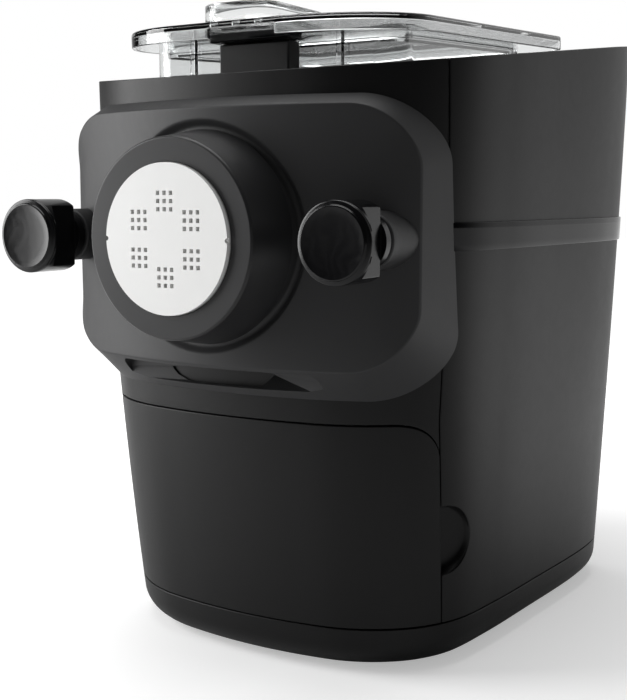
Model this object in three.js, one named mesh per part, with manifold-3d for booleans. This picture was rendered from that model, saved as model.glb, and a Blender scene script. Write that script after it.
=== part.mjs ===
// Electric pasta maker. Millimetres, +Z up, front towards -Y, origin on the table under the middle.
// Depths named "Depth" are measured backwards from the face of the shaping disc.
import * as THREE from 'three';
import { mergeVertices } from 'three/addons/utils/BufferGeometryUtils.js';
import ManifoldModule from 'manifold-3d';

const wasm = await ManifoldModule();
wasm.setup();

// Overall
const overallDepth = 304;
const nozzleHeight = 210;
const gap = 0.3;
const seamGap = 0.6;
const overrun = 2;
const mergeTolerance = 0.0001;

// Stations along the depth that the inside is built from, taken from the overall depth
const chamberBackInset = 72;
const chamberBackDepth = overallDepth - chamberBackInset;
const gearboxCoverInset = 68;
const gearboxCoverDepth = overallDepth - gearboxCoverInset;
const motorLengthShare = 0.24342;
const motorFrontDepth = gearboxCoverDepth - motorLengthShare * overallDepth;

// Body casing
const casingWall = 3;
const baseBottomZ = 2;
const baseSeamZ = 24;
const baseEdgeRadius = 14;
const edgeSteps = 3;
const rearCutDepth = 12;
const bodyFrontBaseDepth = 55;
const bodyFrontTopDepth = 35.5;
const frontSettleZ = 281;
const frontLeanPower = 1.8;
const bodyHalfWidthTop = 121;
const bodyTaper = 12;
const bodyHalfWidthBase = bodyHalfWidthTop - bodyTaper;
const widthSettleZ = 305;
const widthPower = 1.3;
const rimFrontZ = 284;
const rimSlope = 0.1235;
const sideSeamTopDepth = 75.5;
const sideSeamLowDepth = 81;
const sideSeamBaseDepth = 93;
const sideSeamTopZ = 262;

// Right half of the casing seen from above: shares of the half width and of the depth of the casing
const planShares = [
  [0, 0], [0.28, 0.008], [0.50, 0.028], [0.67, 0.068], [0.80, 0.125], [0.885, 0.20], [0.93, 0.33],
  [0.963, 0.51], [1.0, 0.78], [0.985, 0.885], [0.92, 0.955], [0.78, 0.99], [0.5, 1.0], [0, 1.0],
];
const planStepsPerPoint = 2;
const casingLevelShares = [0, 0.2, 0.42, 0.64, 0.84];

// Trim band round the sides and back
const bandLowZ = 204;
const bandHighZ = 217;
const bandProud = 1.2;
const bandGroove = 1.4;

// Drawer
const drawerTopZ = 124.4;
const drawerCornerRadius = 20;
const drawerTravel = 105;
const trayFrontDepth = 66;
const trayBackInset = 24;
const trayBackDepth = motorFrontDepth - trayBackInset;
const traySideRoom = 45;
const trayHalfWidth = bodyHalfWidthTop - traySideRoom;
const trayHeight = 62;
const trayWall = 2;
const trayLift = 34;
const trayRibX = 40;
const trayRibThickness = 4;
const trayFlangeWidth = 5;
const trayFlangeThickness = 2;
const trayFlangeZ = 50;
const runnerWidth = 5;
const runnerHeight = 8;
const runnerFrontDepth = 94;
const runnerOverhang = 8;
const runnerBackDepth = trayBackDepth + runnerOverhang;
const fingerRecessZ = 66;
const fingerRecessRadius = 17.5;
const fingerRecessDepth = 9;
const fingerRecessTilt = 18;
const fingerRecessWall = 2.4;

// Feet and weighing cells
const footX = 56;
const footFrontDepth = 108;
const footBackInset = 42;
const footBackDepth = overallDepth - footBackInset;
const footRadius = 12;
const footStemRadius = 4.2;
const baseFloor = 3;
const postOverlap = 1;
const cellLength = 40;
const cellWidth = 13;
const cellHeight = 6;
const cellWaistLength = 14;
const cellWaistWidth = 7;

// Front module
const plateFrontDepth = 25.4;
const plateBowRadius = 210;
const plateCurlShare = 0.9;
const plateCurlRadius = 20;
const plateWidthShare = 0.81;
const plateHalfWidth = plateWidthShare * bodyHalfWidthTop;
const plateCurlStart = plateCurlShare * plateHalfWidth;
const plateHalfHeight = 58.5;
const plateCornerRadius = 28;
const skirtFlare = 4;
const skirtHalfWidth = plateHalfWidth + skirtFlare;
const skirtAboveAxis = 64.3;
const skirtBelowAxis = 75.5;
const skirtCornerRadius = 31;
const skirtSink = 1;
const skirtBackDepth = 100;
const skirtTaper = 3;
const plateWall = 3;
const plateArcSteps = 5;
const plateRunSteps = 5;
const plateBowSteps = 12;
const plateCurlSteps = 4;
const cavityFloorBelowAxis = 46;
const housingClearance = 0.5;
const dishRadius = 56;
const dishDepth = 3;
const collarBackDepth = 38;
const collarRadius = 48;
const gripHalfLength = 56;
const gripHeight = 10;
const gripPocketDepth = 25;
const gripBackWall = 2;
const gripBelowAxis = 65;
const gripCornerRadius = 4;
const moduleTravel = 80;

// Extrusion tube, shaping disc and ring nut
const tubeBoreRadius = 21.5;
const tubeWall = 3.5;
const tubeBackDepth = 77;
const spigotRadius = 37.6;
const spigotWall = 3.6;
const spigotBackDepth = 34;
const spigotFrontDepth = 9.4;
const tubeSealRadius = 27;
const discRadius = 33.5;
const discFlangeRadius = 37;
const discFlangeDepth = 4.6;
const discBackDepth = 9.1;
const discHollowRadius = 30;
const discPlateThickness = 3.4;
const discHoleSize = 1.9;
const discHolePitch = 3.57;
const discGroupRadius = 16.7;
const discGroups = 6;
const discHolesPerSide = 3;
const discNotchRadius = 1.1;
const discNotchDepth = 1.6;
const spareSideRoom = 6.5;
const spareEndRoom = 4.5;
const spareDiscRadius = Math.min(trayHalfWidth / 2 - spareSideRoom,
  (trayBackDepth - trayFrontDepth) / 2 - spareEndRoom);
const spareGroupShare = 0.53;
const spareGroupRadius = spareGroupShare * spareDiscRadius;
const spareSlotShare = 0.34;
const spareSlotPitch = spareSlotShare * spareDiscRadius;
const spareSlotWidth = 1.9;
const spareHoleShare = 0.108;
const spareHoleRadius = spareHoleShare * spareDiscRadius;
const spareHoleSteps = 8;
const ringOpeningRadius = 33.9;
const ringFaceRadius = 44;
const ringFrontRadius = 45;
const ringRootRadius = 48;
const ringFrontDepth = 2.1;
const ringChamfer = 1.1;
const ringLipDepth = 4.3;
const ringBackDepth = 28.1;
const ringBoreRadius = 38.4;
const ringThreadLead = 4;

// Clamping knobs
const knobAxisShare = 0.69835;
const knobAxisX = knobAxisShare * bodyHalfWidthTop;
const knobFrontDepth = 0.7;
const knobFaceRadius = 15.1;
const knobRadius = 17.5;
const knobHeadDepth = 3.8;
const knobGripBackDepth = 23.4;
const knobCollarRadius = 12.5;
const knobBackDepth = 28.6;
const knobFlatHalfWidth = 10;
const knobFaceDish = 0.8;
const knobDishRadius = 13.5;
const washerThickness = 0.8;
const washerRadius = 11;
const bossRadius = 12.7;
const bossFrontDepth = 30;
const bossRoot = 11;
const screwRadius = 4;
const screwTipDepth = 112;
const screwSocketDepth = 12;
const screwHoleRadius = 4.6;
const knobThreadLead = 3;
const clampNutRadius = 9;
const clampNutLength = 12;
const clampNutSides = 6;

// Mixing chamber
const chamberSideRoom = 48;
const chamberHalfWidth = bodyHalfWidthTop - chamberSideRoom;
const chamberFrontDepth = 80;
const chamberWall = 2.5;
const chamberCornerRadius = 14;
const chamberRibX = 42.5;
const chamberRibWidth = 3;
const chamberRibProud = 2.6;
const chamberRibRoot = 1.2;
const chamberRibFoot = 2;
const chamberFrontHoleRadius = 22;
const chamberArcSteps = 14;
const shaftSealRadius = 11;
const shaftSealDepth = 3;
const shaftSealFrontDepth = chamberBackDepth - shaftSealDepth;
const shaftSealProud = 2;

// Lid
const lidFrontDepth = 45.2;
const lidFrontZ = 301.15;
const lidSlope = 0.054;
const lidBackReach = 40;
const lidLength = chamberBackDepth + lidBackReach - lidFrontDepth;
const lidSideReach = 9.4;
const lidHalfWidth = chamberHalfWidth + lidSideReach;
const lidCornerRadius = 52.4;
const lidBackCornerRadius = 10.4;
const lidThickness = 7.6;
const lidPlate = 2.5;
const lidSkirt = 2.2;
const lidRibDrop = 9;
const lidRibWall = 2;
const lidRibClearance = 1;
const lidCornerSteps = 6;
const notchX = 9.5;
const notchHalfWidth = 18.5;
const inletX = -11;
const inletHalfWidth = 21;
const inletFrontDepth = 65.5;
const inletLength = 62;
const inletTopZ = 320.9;
const inletWall = 2.2;
const inletCornerRadius = 13.5;
const inletSlotWidth = 5;
const inletSlotLength = 26;
const inletSlots = 3;
const inletSlotPitch = 13;
const lidPlateJoin = 1.2;
const inletRise = 60;
const lidTravel = 60;

// Lid latch
const towerHalfWidth = 20;
const towerFrontDepth = 69.5;
const towerTopZ = 301.6;
const latchHalfWidth = 22.5;
const latchFrontDepth = 63.2;
const latchBackDepth = 79;
const latchThickness = 4.2;
const latchStemHalfWidth = 8;
const latchStemDrop = 8;
const latchStemFrontDepth = 72;
const latchStemLength = 4;
const latchStemRoot = 2;
const latchTravel = 2.5;

// Top deck and controls
const deckDrop = 4;
const deckThickness = 3;
const controlInset = 18;
const controlDepth = overallDepth - controlInset;
const displayHalfWidth = 26;
const displayLength = 15;
const displayThickness = 1.6;
const displayX = -26;
const buttonRadius = 5;
const buttonFlangeRadius = 6.2;
const buttonFlangeThickness = 1.4;
const buttonRoot = 0.5;
const buttonProud = 1;
const buttonTravel = 0.9;
const buttonFirstX = 18;
const buttonPitch = 19;
const buttonCount = 3;
const boardThickness = 1.6;
const boardHalfWidth = 70;
const boardLength = 20;
const boardDrop = 8.2;
const boardPostX = 66;
const boardPostRadius = 3;
const boardPostRoot = 1.5;
const switchRadius = 2.5;

// Frame inside
const deckPlateZ = 127.5;
const deckPlateThickness = 4.5;
const frameSideRoom = 30;
const frameHalfWidth = bodyHalfWidthTop - frameSideRoom;
const frameFrontDepth = 90;
const frameBackRoom = 0.4;
const frameBackDepth = gearboxCoverDepth - frameBackRoom;
const cradleThickness = 6;
const cradleFrontDepth = 98;
const cradleBackInset = 26;
const cradleBackDepth = chamberBackDepth - cradleBackInset;
const cradleTopZ = 168;
const legSize = 5;
const legInset = 4;
const legX = frameHalfWidth - legInset;
const legFrontDepth = 115;
const legBackInset = 78;
const legBackDepth = overallDepth - legBackInset;
const bracketDepth = 96;
const bracketHalfWidth = 8.5;
const bracketThickness = 6;
const bracketTopZ = 224;

// Gear train
const shaftRadius = 5;
const shaftFrontDepth = 86;
const shaftBackInset = 15;
const shaftBackDepth = overallDepth - shaftBackInset;
const idlerFrontRoom = 1;
const idlerFrontDepth = gearboxCoverDepth + idlerFrontRoom;
const idlerShaftRadius = 4;
const idlerNeckRadius = 8;
const motorShaftRadius = 3.5;
const outputModule = 2.5;
const outputTeeth = 34;
const slowPinionTeeth = 12;
const middleModule = 2;
const slowGearTeeth = 28;
const fastPinionTeeth = 12;
const inputModule = 1.5;
const fastGearTeeth = 30;
const motorPinionTeeth = 12;
const slowIdlerAngle = 12;
const fastIdlerAngle = -20;
const outputGearSetback = 34;
const outputGearDepth = gearboxCoverDepth + outputGearSetback;
const middleGearSetback = 22;
const middleGearDepth = gearboxCoverDepth + middleGearSetback;
const inputGearSetback = 10;
const inputGearDepth = gearboxCoverDepth + inputGearSetback;
const gearFace = 9;
const backlash = 0.45;
const rootShare = 1.3;
const tipShare = 0.85;
const pressureAngle = 20;
const gearboxHalfWidth = 52;
const gearboxLowZ = 56;
const gearboxHighZ = 262;
const gearboxCornerRadius = 12;
const gearboxWall = 3;
const gearboxCoverThickness = 5;
const gearboxFrontDepth = gearboxCoverDepth + gearboxCoverThickness + gap;
const gearboxBackInset = 14;
const gearboxBackDepth = overallDepth - gearboxBackInset;
const bearingRadius = 13;
const pedestalX = 29;
const pedestalWidth = 10;
const pedestalLength = 36;

// Motor
const motorRadius = 37;
const motorWall = 1.5;
const statorBoreRadius = 20.8;
const statorFrontInset = 12;
const statorFrontDepth = motorFrontDepth + statorFrontInset;
const statorBackInset = 14;
const statorBackDepth = gearboxCoverDepth - statorBackInset;
const rotorRadius = 20;
const motorCapHoleRadius = 8;
const motorShaftReach = 14;
const motorShaftFrontDepth = motorFrontDepth - motorShaftReach;
const motorShaftBackReach = 10;
const motorShaftBackDepth = inputGearDepth + motorShaftBackReach;
const fanRadius = 30;
const fanHubRadius = 9;
const fanReach = 13;
const fanDepth = motorFrontDepth - fanReach;
const fanLength = 9;
const fanBlades = 7;
const fanBladeRoot = 5;
const fanBladeThickness = 2;

// Mixing paddle
const hubRadius = 9;
const hubFrontDepth = 84;
const hubBackInset = 6;
const hubBackDepth = chamberBackDepth - hubBackInset;
const paddleClearance = 6.5;
const paddleRadius = chamberHalfWidth - paddleClearance;
const armThickness = 6;
const armWidth = 12;
const armShares = [0.158, 0.342, 0.526, 0.71, 0.882];
const armDepths = armShares.map(
  (share) => chamberFrontDepth + share * (chamberBackDepth - chamberFrontDepth));
const armTurn = 90;
const bladeLength = 20;
const bladeThickness = 5;
const bladeSetback = 0.4;
const augerFrontDepth = 16;
const augerCoreRadius = 7;
const augerBackDepth = 83;
const augerPitch = 26;
const augerBlade = 3.2;
const augerRadius = 20.6;
const augerStepsPerTurn = 14;

// Electrics
const powerBoardLength = 52;
const powerBoardHeight = 58;
const powerBoardX = 56;
const powerBoardFrontDepth = motorFrontDepth;
const transformerSize = 16;
const capacitorRadius = 6;
const capacitorInset = 12;
const glandRadius = 7;
const glandSideRoom = 47;
const glandX = bodyHalfWidthBase - glandSideRoom;
const glandZ = 46;
const glandLength = 14;
const glandBore = 3.6;
const glandFlange = 2.5;
const rockerX = -glandX;
const rockerZ = 48;
const rockerHalfWidth = 7;
const rockerHalfHeight = 9;
const rockerSwing = 1.2;
const rockerThickness = 6;
const rockerSetback = 2;
const rockerFaceDepth = overallDepth - rockerSetback;
const ventSlots = 7;
const ventPitch = 9;
const ventWidth = 3.5;
const ventHeight = 40;
const ventZ = 92;

const roundSteps = 24;
const fineRoundSteps = 36;
const smallRoundSteps = 12;
const cornerSteps = 3;

const casingBackDepth = overallDepth - bandProud;
const faceY = -overallDepth / 2;
const backY = overallDepth / 2;
const behind = (depth) => faceY + depth;

const machine = new THREE.Group();

function plastic(color, roughness) {
  return new THREE.MeshStandardMaterial({ color, roughness, metalness: 0 });
}

function metal(color, roughness) {
  return new THREE.MeshStandardMaterial({ color, roughness, metalness: 1 });
}

const casingBlack = plastic(0x1c1c1d, 0.45);
const moduleBlack = plastic(0x2a2a2b, 0.4);
const glossBlack = plastic(0x0a0a0b, 0.12);
const discWhite = plastic(0xe9e9e6, 0.5);
const rubber = plastic(0x18181a, 0.85);
const clear = new THREE.MeshStandardMaterial({
  color: 0xc8cccd, roughness: 0.08, metalness: 0, transparent: true, opacity: 0.35,
});
const smokyGlass = plastic(0x0d0f12, 0.08);
const frameGrey = plastic(0x6d7073, 0.6);
const whiteGear = plastic(0xdedbd0, 0.5);
const steel = metal(0xb9bcc0, 0.3);
const darkSteel = metal(0x5c5f63, 0.4);
const brass = metal(0xc9a95c, 0.35);
const copper = metal(0xb66a3c, 0.4);
const boardGreen = plastic(0x1e5a35, 0.6);

// Solids from three.js geometry, joined and cut
function solid(geometry) {
  const plain = geometry.clone();
  plain.deleteAttribute('normal');
  if (plain.attributes.uv) plain.deleteAttribute('uv');
  const merged = mergeVertices(plain, mergeTolerance);
  return new wasm.Manifold(new wasm.Mesh({
    numProp: 3,
    vertProperties: new Float32Array(merged.attributes.position.array),
    triVerts: new Uint32Array(merged.index.array),
  }));
}

function joined(...solids) {
  return solids.reduce((all, next) => all.add(next));
}

function without(body, ...cuts) {
  return cuts.reduce((left, next) => left.subtract(next), body);
}

function surfaceOf(body) {
  const mesh = body.getMesh();
  const geometry = new THREE.BufferGeometry();
  geometry.setAttribute('position', new THREE.BufferAttribute(new Float32Array(mesh.vertProperties), 3));
  geometry.setIndex(new THREE.BufferAttribute(new Uint32Array(mesh.triVerts), 1));
  geometry.computeVertexNormals();
  return geometry;
}

function add(name, body, material) {
  const mesh = new THREE.Mesh(surfaceOf(body), material);
  mesh.name = name;
  machine.add(mesh);
}

// A block between two values on each axis
function boxBetween(x0, x1, y0, y1, z0, z1) {
  const box = new THREE.BoxGeometry(x1 - x0, y1 - y0, z1 - z0);
  box.translate((x0 + x1) / 2, (y0 + y1) / 2, (z0 + z1) / 2);
  return box;
}

function block(x0, x1, y0, y1, z0, z1) {
  return solid(boxBetween(x0, x1, y0, y1, z0, z1));
}

// A round bar along Y; it starts half a step round, so that no corner lies on the middle plane
function barY(radius, y0, y1, x, z, steps = roundSteps) {
  const bar = new THREE.CylinderGeometry(radius, radius, y1 - y0, steps, 1, false, Math.PI / steps);
  bar.translate(x, (y0 + y1) / 2, z);
  return solid(bar);
}

// A round bar along Z
function barZ(radius, z0, z1, x, y, steps = roundSteps) {
  const bar = new THREE.CylinderGeometry(radius, radius, z1 - z0, steps);
  bar.rotateX(Math.PI / 2);
  bar.translate(x, y, (z0 + z1) / 2);
  return solid(bar);
}

// A turned piece about an axis along Y: the profile lists radius and depth
function turnedY(profile, x, z, steps = roundSteps) {
  const points = profile.map(([radius, depth]) => new THREE.Vector2(radius, behind(depth)));
  const turned = new THREE.LatheGeometry(points, steps, Math.PI / steps);
  turned.translate(x, 0, z);
  return facingOut(turned);
}

function signedVolume(geometry) {
  const position = geometry.attributes.position;
  const index = geometry.index;
  const a = new THREE.Vector3();
  const b = new THREE.Vector3();
  const c = new THREE.Vector3();
  let volume = 0;
  for (let k = 0; k < index.count; k += 3) {
    a.fromBufferAttribute(position, index.getX(k));
    b.fromBufferAttribute(position, index.getX(k + 1));
    c.fromBufferAttribute(position, index.getX(k + 2));
    volume += a.dot(b.cross(c));
  }
  return volume;
}

// Turns the faces outwards where a profile was listed the other way round
function facingOut(geometry) {
  if (signedVolume(geometry) < 0) {
    const index = geometry.index;
    for (let k = 0; k < index.count; k += 3) {
      const first = index.getX(k);
      index.setX(k, index.getX(k + 1));
      index.setX(k + 1, first);
    }
  }
  return solid(geometry);
}

// A skin through a row of rings with the same number of points, capped at both ends
function loft(rings, flatten) {
  const count = rings[0].length;
  const positions = rings.flat().flatMap((point) => [point.x, point.y, point.z]);
  const faces = [];
  for (let ring = 0; ring + 1 < rings.length; ring += 1) {
    for (let k = 0; k < count; k += 1) {
      const a = ring * count + k;
      const b = ring * count + (k + 1) % count;
      faces.push(a, b, b + count, a, b + count, a + count);
    }
  }
  const capOf = (ring) => THREE.ShapeUtils.triangulateShape(rings[ring].map(flatten), []);
  const last = rings.length - 1;
  const tone = THREE.ShapeUtils.isClockWise(rings[0].map(flatten)) ? -1 : 1;
  capOf(0).forEach(([a, b, c]) => faces.push(...(tone > 0 ? [a, c, b] : [a, b, c])));
  const top = last * count;
  capOf(last).forEach(([a, b, c]) => {
    const order = tone > 0 ? [a, b, c] : [a, c, b];
    faces.push(...order.map((k) => top + k));
  });
  const geometry = new THREE.BufferGeometry();
  geometry.setAttribute('position', new THREE.Float32BufferAttribute(positions, 3));
  geometry.setIndex(faces);
  return facingOut(geometry);
}

function roundedRect(x0, x1, y0, y1, radius, farRadius = radius) {
  const shape = new THREE.Shape();
  shape.moveTo(x0 + radius, y0);
  shape.lineTo(x1 - radius, y0);
  shape.absarc(x1 - radius, y0 + radius, radius, -Math.PI / 2, 0, false);
  shape.lineTo(x1, y1 - farRadius);
  shape.absarc(x1 - farRadius, y1 - farRadius, farRadius, 0, Math.PI / 2, false);
  shape.lineTo(x0 + farRadius, y1);
  shape.absarc(x0 + farRadius, y1 - farRadius, farRadius, Math.PI / 2, Math.PI, false);
  shape.lineTo(x0, y0 + radius);
  shape.absarc(x0 + radius, y0 + radius, radius, Math.PI, Math.PI * 3 / 2, false);
  return shape;
}

// A shape drawn in X and Y, raised along Z
function prismZ(shape, z0, z1, curveSegments = cornerSteps) {
  const prism = new THREE.ExtrudeGeometry(shape, { depth: z1 - z0, bevelEnabled: false, curveSegments });
  prism.translate(0, 0, z0);
  return prism;
}

// A shape drawn in X and Z, run along Y
function prismY(shape, y0, y1, curveSegments = cornerSteps) {
  const prism = new THREE.ExtrudeGeometry(shape, { depth: y1 - y0, bevelEnabled: false, curveSegments });
  prism.rotateX(Math.PI / 2);
  prism.translate(0, y1, 0);
  return prism;
}

// Casing outline at a height: the curve through the shares, moved inwards by a wall
const planRight = planShares.map(([x, y]) => new THREE.Vector3(x, y, 0));
const planLeft = planShares.slice(1, -1).reverse().map(([x, y]) => new THREE.Vector3(-x, y, 0));
const planCurve = new THREE.CatmullRomCurve3([...planRight, ...planLeft], true, 'centripetal');
const planSteps = planStepsPerPoint * planCurve.points.length;

function bodyHalfWidth(z) {
  const fall = Math.max(0, (widthSettleZ - z) / (widthSettleZ - baseSeamZ));
  return bodyHalfWidthTop - (bodyHalfWidthTop - bodyHalfWidthBase) * fall ** widthPower;
}

function bodyFrontDepth(z) {
  const fall = Math.max(0, (frontSettleZ - z) / (frontSettleZ - baseSeamZ));
  return bodyFrontTopDepth + (bodyFrontBaseDepth - bodyFrontTopDepth) * fall ** frontLeanPower;
}

function planPoint(share, z, inset) {
  const point = planCurve.getPoint(share);
  const tangent = planCurve.getTangent(share);
  const halfWidth = bodyHalfWidth(z);
  const length = casingBackDepth - bodyFrontDepth(z);
  const outward = new THREE.Vector2(tangent.y * length, -tangent.x * halfWidth).normalize();
  const x = point.x * halfWidth - outward.x * inset;
  const y = behind(bodyFrontDepth(z) + point.y * length) - outward.y * inset;
  return new THREE.Vector3(x, y, z);
}

function rimZ(y) {
  return rimFrontZ + rimSlope * (y - behind(bodyFrontTopDepth));
}

function flatRing(z, inset) {
  return Array.from({ length: planSteps }, (_, k) => planPoint(k / planSteps, z, inset));
}

// A ring that lies a given height above or below the sloping rim
function rimRing(inset, lift) {
  return Array.from({ length: planSteps }, (_, k) => {
    const share = k / planSteps;
    const z = rimZ(planPoint(share, rimFrontZ, inset).y) + lift;
    return planPoint(share, z, inset);
  });
}

const fromAbove = (point) => new THREE.Vector2(point.x, point.y);

function bodyBlock(inset, lowZ, rimLift) {
  const levels = casingLevelShares.map((share) => lowZ + share * (rimFrontZ - lowZ));
  return loft([...levels.map((z) => flatRing(z, inset)), rimRing(inset, rimLift)], fromAbove);
}

const bodyOuter = bodyBlock(0, baseSeamZ, 0);
const bodyInner = bodyBlock(casingWall, baseSeamZ - overrun, overrun);
const bodyShell = without(bodyOuter, bodyInner);

// Region in front of the side seams, drawn from the side: Y and Z
function sideRegion(points) {
  const shape = new THREE.Shape(points.map(([y, z]) => new THREE.Vector2(y, z)));
  return sideways(shape);
}

function sideways(shape) {
  const width = 2 * (bodyHalfWidthTop + overrun);
  const region = new THREE.ExtrudeGeometry(shape, { depth: width, bevelEnabled: false, curveSegments: lidCornerSteps });
  region.applyMatrix4(new THREE.Matrix4().set(0, 0, 1, -width / 2, 1, 0, 0, 0, 0, 1, 0, 0, 0, 0, 0, 1));
  return solid(region);
}

const skyZ = inletTopZ + overrun;
const seamTopY = behind(sideSeamTopDepth + (sideSeamTopDepth - sideSeamLowDepth)
  * (skyZ - sideSeamTopZ) / (sideSeamTopZ - drawerTopZ));

function seamLowY(z) {
  const share = (drawerTopZ - z) / (drawerTopZ - baseSeamZ);
  return behind(sideSeamLowDepth + share * (sideSeamBaseDepth - sideSeamLowDepth));
}

function frontRegion(back) {
  return sideRegion([
    [faceY, 0], [seamLowY(0) + back, 0], [seamLowY(drawerTopZ) + back, drawerTopZ],
    [seamTopY + back, skyZ], [faceY, skyZ],
  ]);
}

// The drawer's opening, with its rounded upper rear corner
function drawerRegion(grow) {
  const topZ = drawerTopZ + grow;
  const cornerZ = topZ - drawerCornerRadius;
  const cornerY = seamLowY(cornerZ) + grow - drawerCornerRadius;
  const shape = new THREE.Shape();
  shape.moveTo(faceY, 0);
  shape.lineTo(seamLowY(0) + grow, 0);
  shape.absarc(cornerY, cornerZ, drawerCornerRadius, 0, Math.PI / 2, false);
  shape.lineTo(faceY, topZ);
  shape.closePath();
  return sideways(shape);
}

function casing() {
  const frontPart = frontRegion(0);
  const tubeHole = barY(tubeBoreRadius + tubeWall + overrun, faceY, 0, 0, nozzleHeight);
  const screwHoles = [-1, 1].map((side) => barY(
    screwHoleRadius + overrun, faceY, 0, side * knobAxisX, nozzleHeight, smallRoundSteps));
  const front = without(bodyShell.intersect(frontPart), drawerRegion(seamGap), tubeHole, ...screwHoles);
  add('front_housing', front, casingBlack);

  const bandBlock = block(-bodyHalfWidthTop, bodyHalfWidthTop, faceY, backY + overrun, bandLowZ, bandHighZ);
  const bandBed = block(-bodyHalfWidthTop, bodyHalfWidthTop, faceY, backY + overrun,
    bandLowZ - gap, bandHighZ + gap);
  const groove = without(bandBed, bodyBlock(bandGroove, baseSeamZ - overrun, overrun));
  const rearPart = without(bodyShell, frontRegion(seamGap));
  const recesses = [-1, 1].map(fingerRecess);
  const lined = joined(rearPart, ...recesses.map((recess) => recess.liner));
  const rear = without(lined, groove, ...recesses.map((recess) => recess.hollow), ...rearOpenings());
  add('rear_housing', rear, casingBlack);

  const bandOuter = bodyBlock(-bandProud, baseSeamZ, 0);
  const bandInner = bodyBlock(bandGroove - gap, baseSeamZ - overrun, overrun);
  const band = without(bandBlock.intersect(bandOuter), bandInner, frontRegion(seamGap + gap));
  add('trim_band', band, glossBlack);
}

// Half-round recess in the casing beside the drawer, for the fingers that pull it out
function fingerRecess(side) {
  const edgeY = seamLowY(fingerRecessZ) + seamGap;
  const sideX = planPointAt(edgeY, fingerRecessZ);
  const linerSize = fingerRecessRadius + fingerRecessWall;
  const inner = side * (sideX - fingerRecessDepth - fingerRecessWall);
  const outer = side * bodyHalfWidthTop;
  const pad = block(Math.min(inner, outer), Math.max(inner, outer), edgeY - linerSize, edgeY + linerSize,
    fingerRecessZ - linerSize, fingerRecessZ + linerSize);
  const length = 2 * fingerRecessDepth;
  const cut = new THREE.CylinderGeometry(fingerRecessRadius, fingerRecessRadius, length, roundSteps);
  cut.rotateZ(Math.PI / 2);
  cut.translate(side * fingerRecessDepth, 0, 0);
  cut.rotateZ(side * THREE.MathUtils.degToRad(fingerRecessTilt));
  cut.translate(side * (sideX - fingerRecessDepth), edgeY, fingerRecessZ);
  return { liner: without(pad.intersect(bodyOuter), frontRegion(seamGap)), hollow: solid(cut) };
}

// Half width of the casing where its side wall passes a given Y
function planPointAt(y, z) {
  const ring = flatRing(z, 0).filter((point) => point.x > 0);
  const k = ring.findIndex((point) => point.y > y && point.x > bodyHalfWidth(z) / 2);
  const before = ring[k - 1];
  const share = (y - before.y) / (ring[k].y - before.y);
  return before.x + share * (ring[k].x - before.x);
}

// Holes in the rear of the casing: cable gland, switch frame and cooling slots
function rearOpenings() {
  const inside = backY - rearCutDepth;
  const outside = backY + overrun;
  const gland = barY(glandRadius + gap, inside, outside, glandX, glandZ, smallRoundSteps);
  const rocker = block(rockerX - rockerHalfWidth - gap, rockerX + rockerHalfWidth + gap, inside, outside,
    rockerZ - rockerHalfHeight - rockerSwing, rockerZ + rockerHalfHeight + rockerSwing);
  const slots = Array.from({ length: ventSlots }, (_, k) => {
    const x = (k - (ventSlots - 1) / 2) * ventPitch;
    return block(x - ventWidth / 2, x + ventWidth / 2, inside, outside,
      ventZ - ventHeight / 2, ventZ + ventHeight / 2);
  });
  return [gland, rocker, ...slots];
}

// Tray under the casing with a rounded lower edge, and the posts that stand on its floor
function base() {
  const edgeRings = (shrink) => Array.from({ length: edgeSteps + 1 }, (_, k) => {
    const angle = (k / edgeSteps) * Math.PI / 2;
    const radius = baseEdgeRadius - shrink;
    return flatRing(baseBottomZ + shrink + radius * (1 - Math.cos(angle)),
      shrink + radius * (1 - Math.sin(angle)));
  });
  const outer = loft([...edgeRings(0), flatRing(baseSeamZ - seamGap, 0)], fromAbove);
  const inner = loft([...edgeRings(baseFloor), flatRing(baseSeamZ + overrun, baseFloor)], fromAbove);
  const floorTop = baseBottomZ + baseFloor;
  const posts = [-1, 1].flatMap((side) => [legFrontDepth, legBackDepth].map((depth) => block(
    side * legX - legSize, side * legX + legSize, behind(depth) - legSize, behind(depth) + legSize,
    floorTop - postOverlap, baseSeamZ - seamGap).intersect(outer)));
  const pedestals = [-1, 1].map((side) => block(
    side * pedestalX - pedestalWidth / 2, side * pedestalX + pedestalWidth / 2,
    behind(gearboxFrontDepth), behind(gearboxFrontDepth) + pedestalLength,
    floorTop - postOverlap, gearboxLowZ - gap));
  const stemHoles = feetPlaces().map(([x, y]) => barZ(
    footStemRadius + gap, 0, baseSeamZ / 2, x, y, smallRoundSteps));
  add('base_tray', without(joined(without(outer, inner), ...posts, ...pedestals), ...stemHoles), casingBlack);
}

function feetPlaces() {
  return [
    [-footX, behind(footFrontDepth), 'front_left'], [footX, behind(footFrontDepth), 'front_right'],
    [-footX, behind(footBackDepth), 'rear_left'], [footX, behind(footBackDepth), 'rear_right'],
  ];
}

// Rubber feet, whose stems pass the floor and carry the weighing cells
function feet() {
  feetPlaces().forEach(([x, y, corner]) => {
    const pad = barZ(footRadius, 0, baseBottomZ - gap, x, y, smallRoundSteps);
    const stemTop = baseBottomZ + baseFloor;
    const stem = barZ(footStemRadius, 0, stemTop, x, y, smallRoundSteps);
    add(`foot_${corner}`, joined(pad, stem), rubber);
    const cellZ = stemTop + gap;
    const bar = block(x - cellLength / 2, x + cellLength / 2, y - cellWidth / 2, y + cellWidth / 2,
      cellZ, cellZ + cellHeight);
    const waists = [-1, 1].map((side) => {
      const y0 = side > 0 ? y + cellWaistWidth / 2 : y - cellWidth;
      const y1 = side > 0 ? y + cellWidth : y - cellWaistWidth / 2;
      return block(x - cellWaistLength / 2, x + cellWaistLength / 2, y0, y1, 0, baseSeamZ);
    });
    add(`load_cell_${corner}`, without(bar, ...waists), steel);
  });
}

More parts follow.
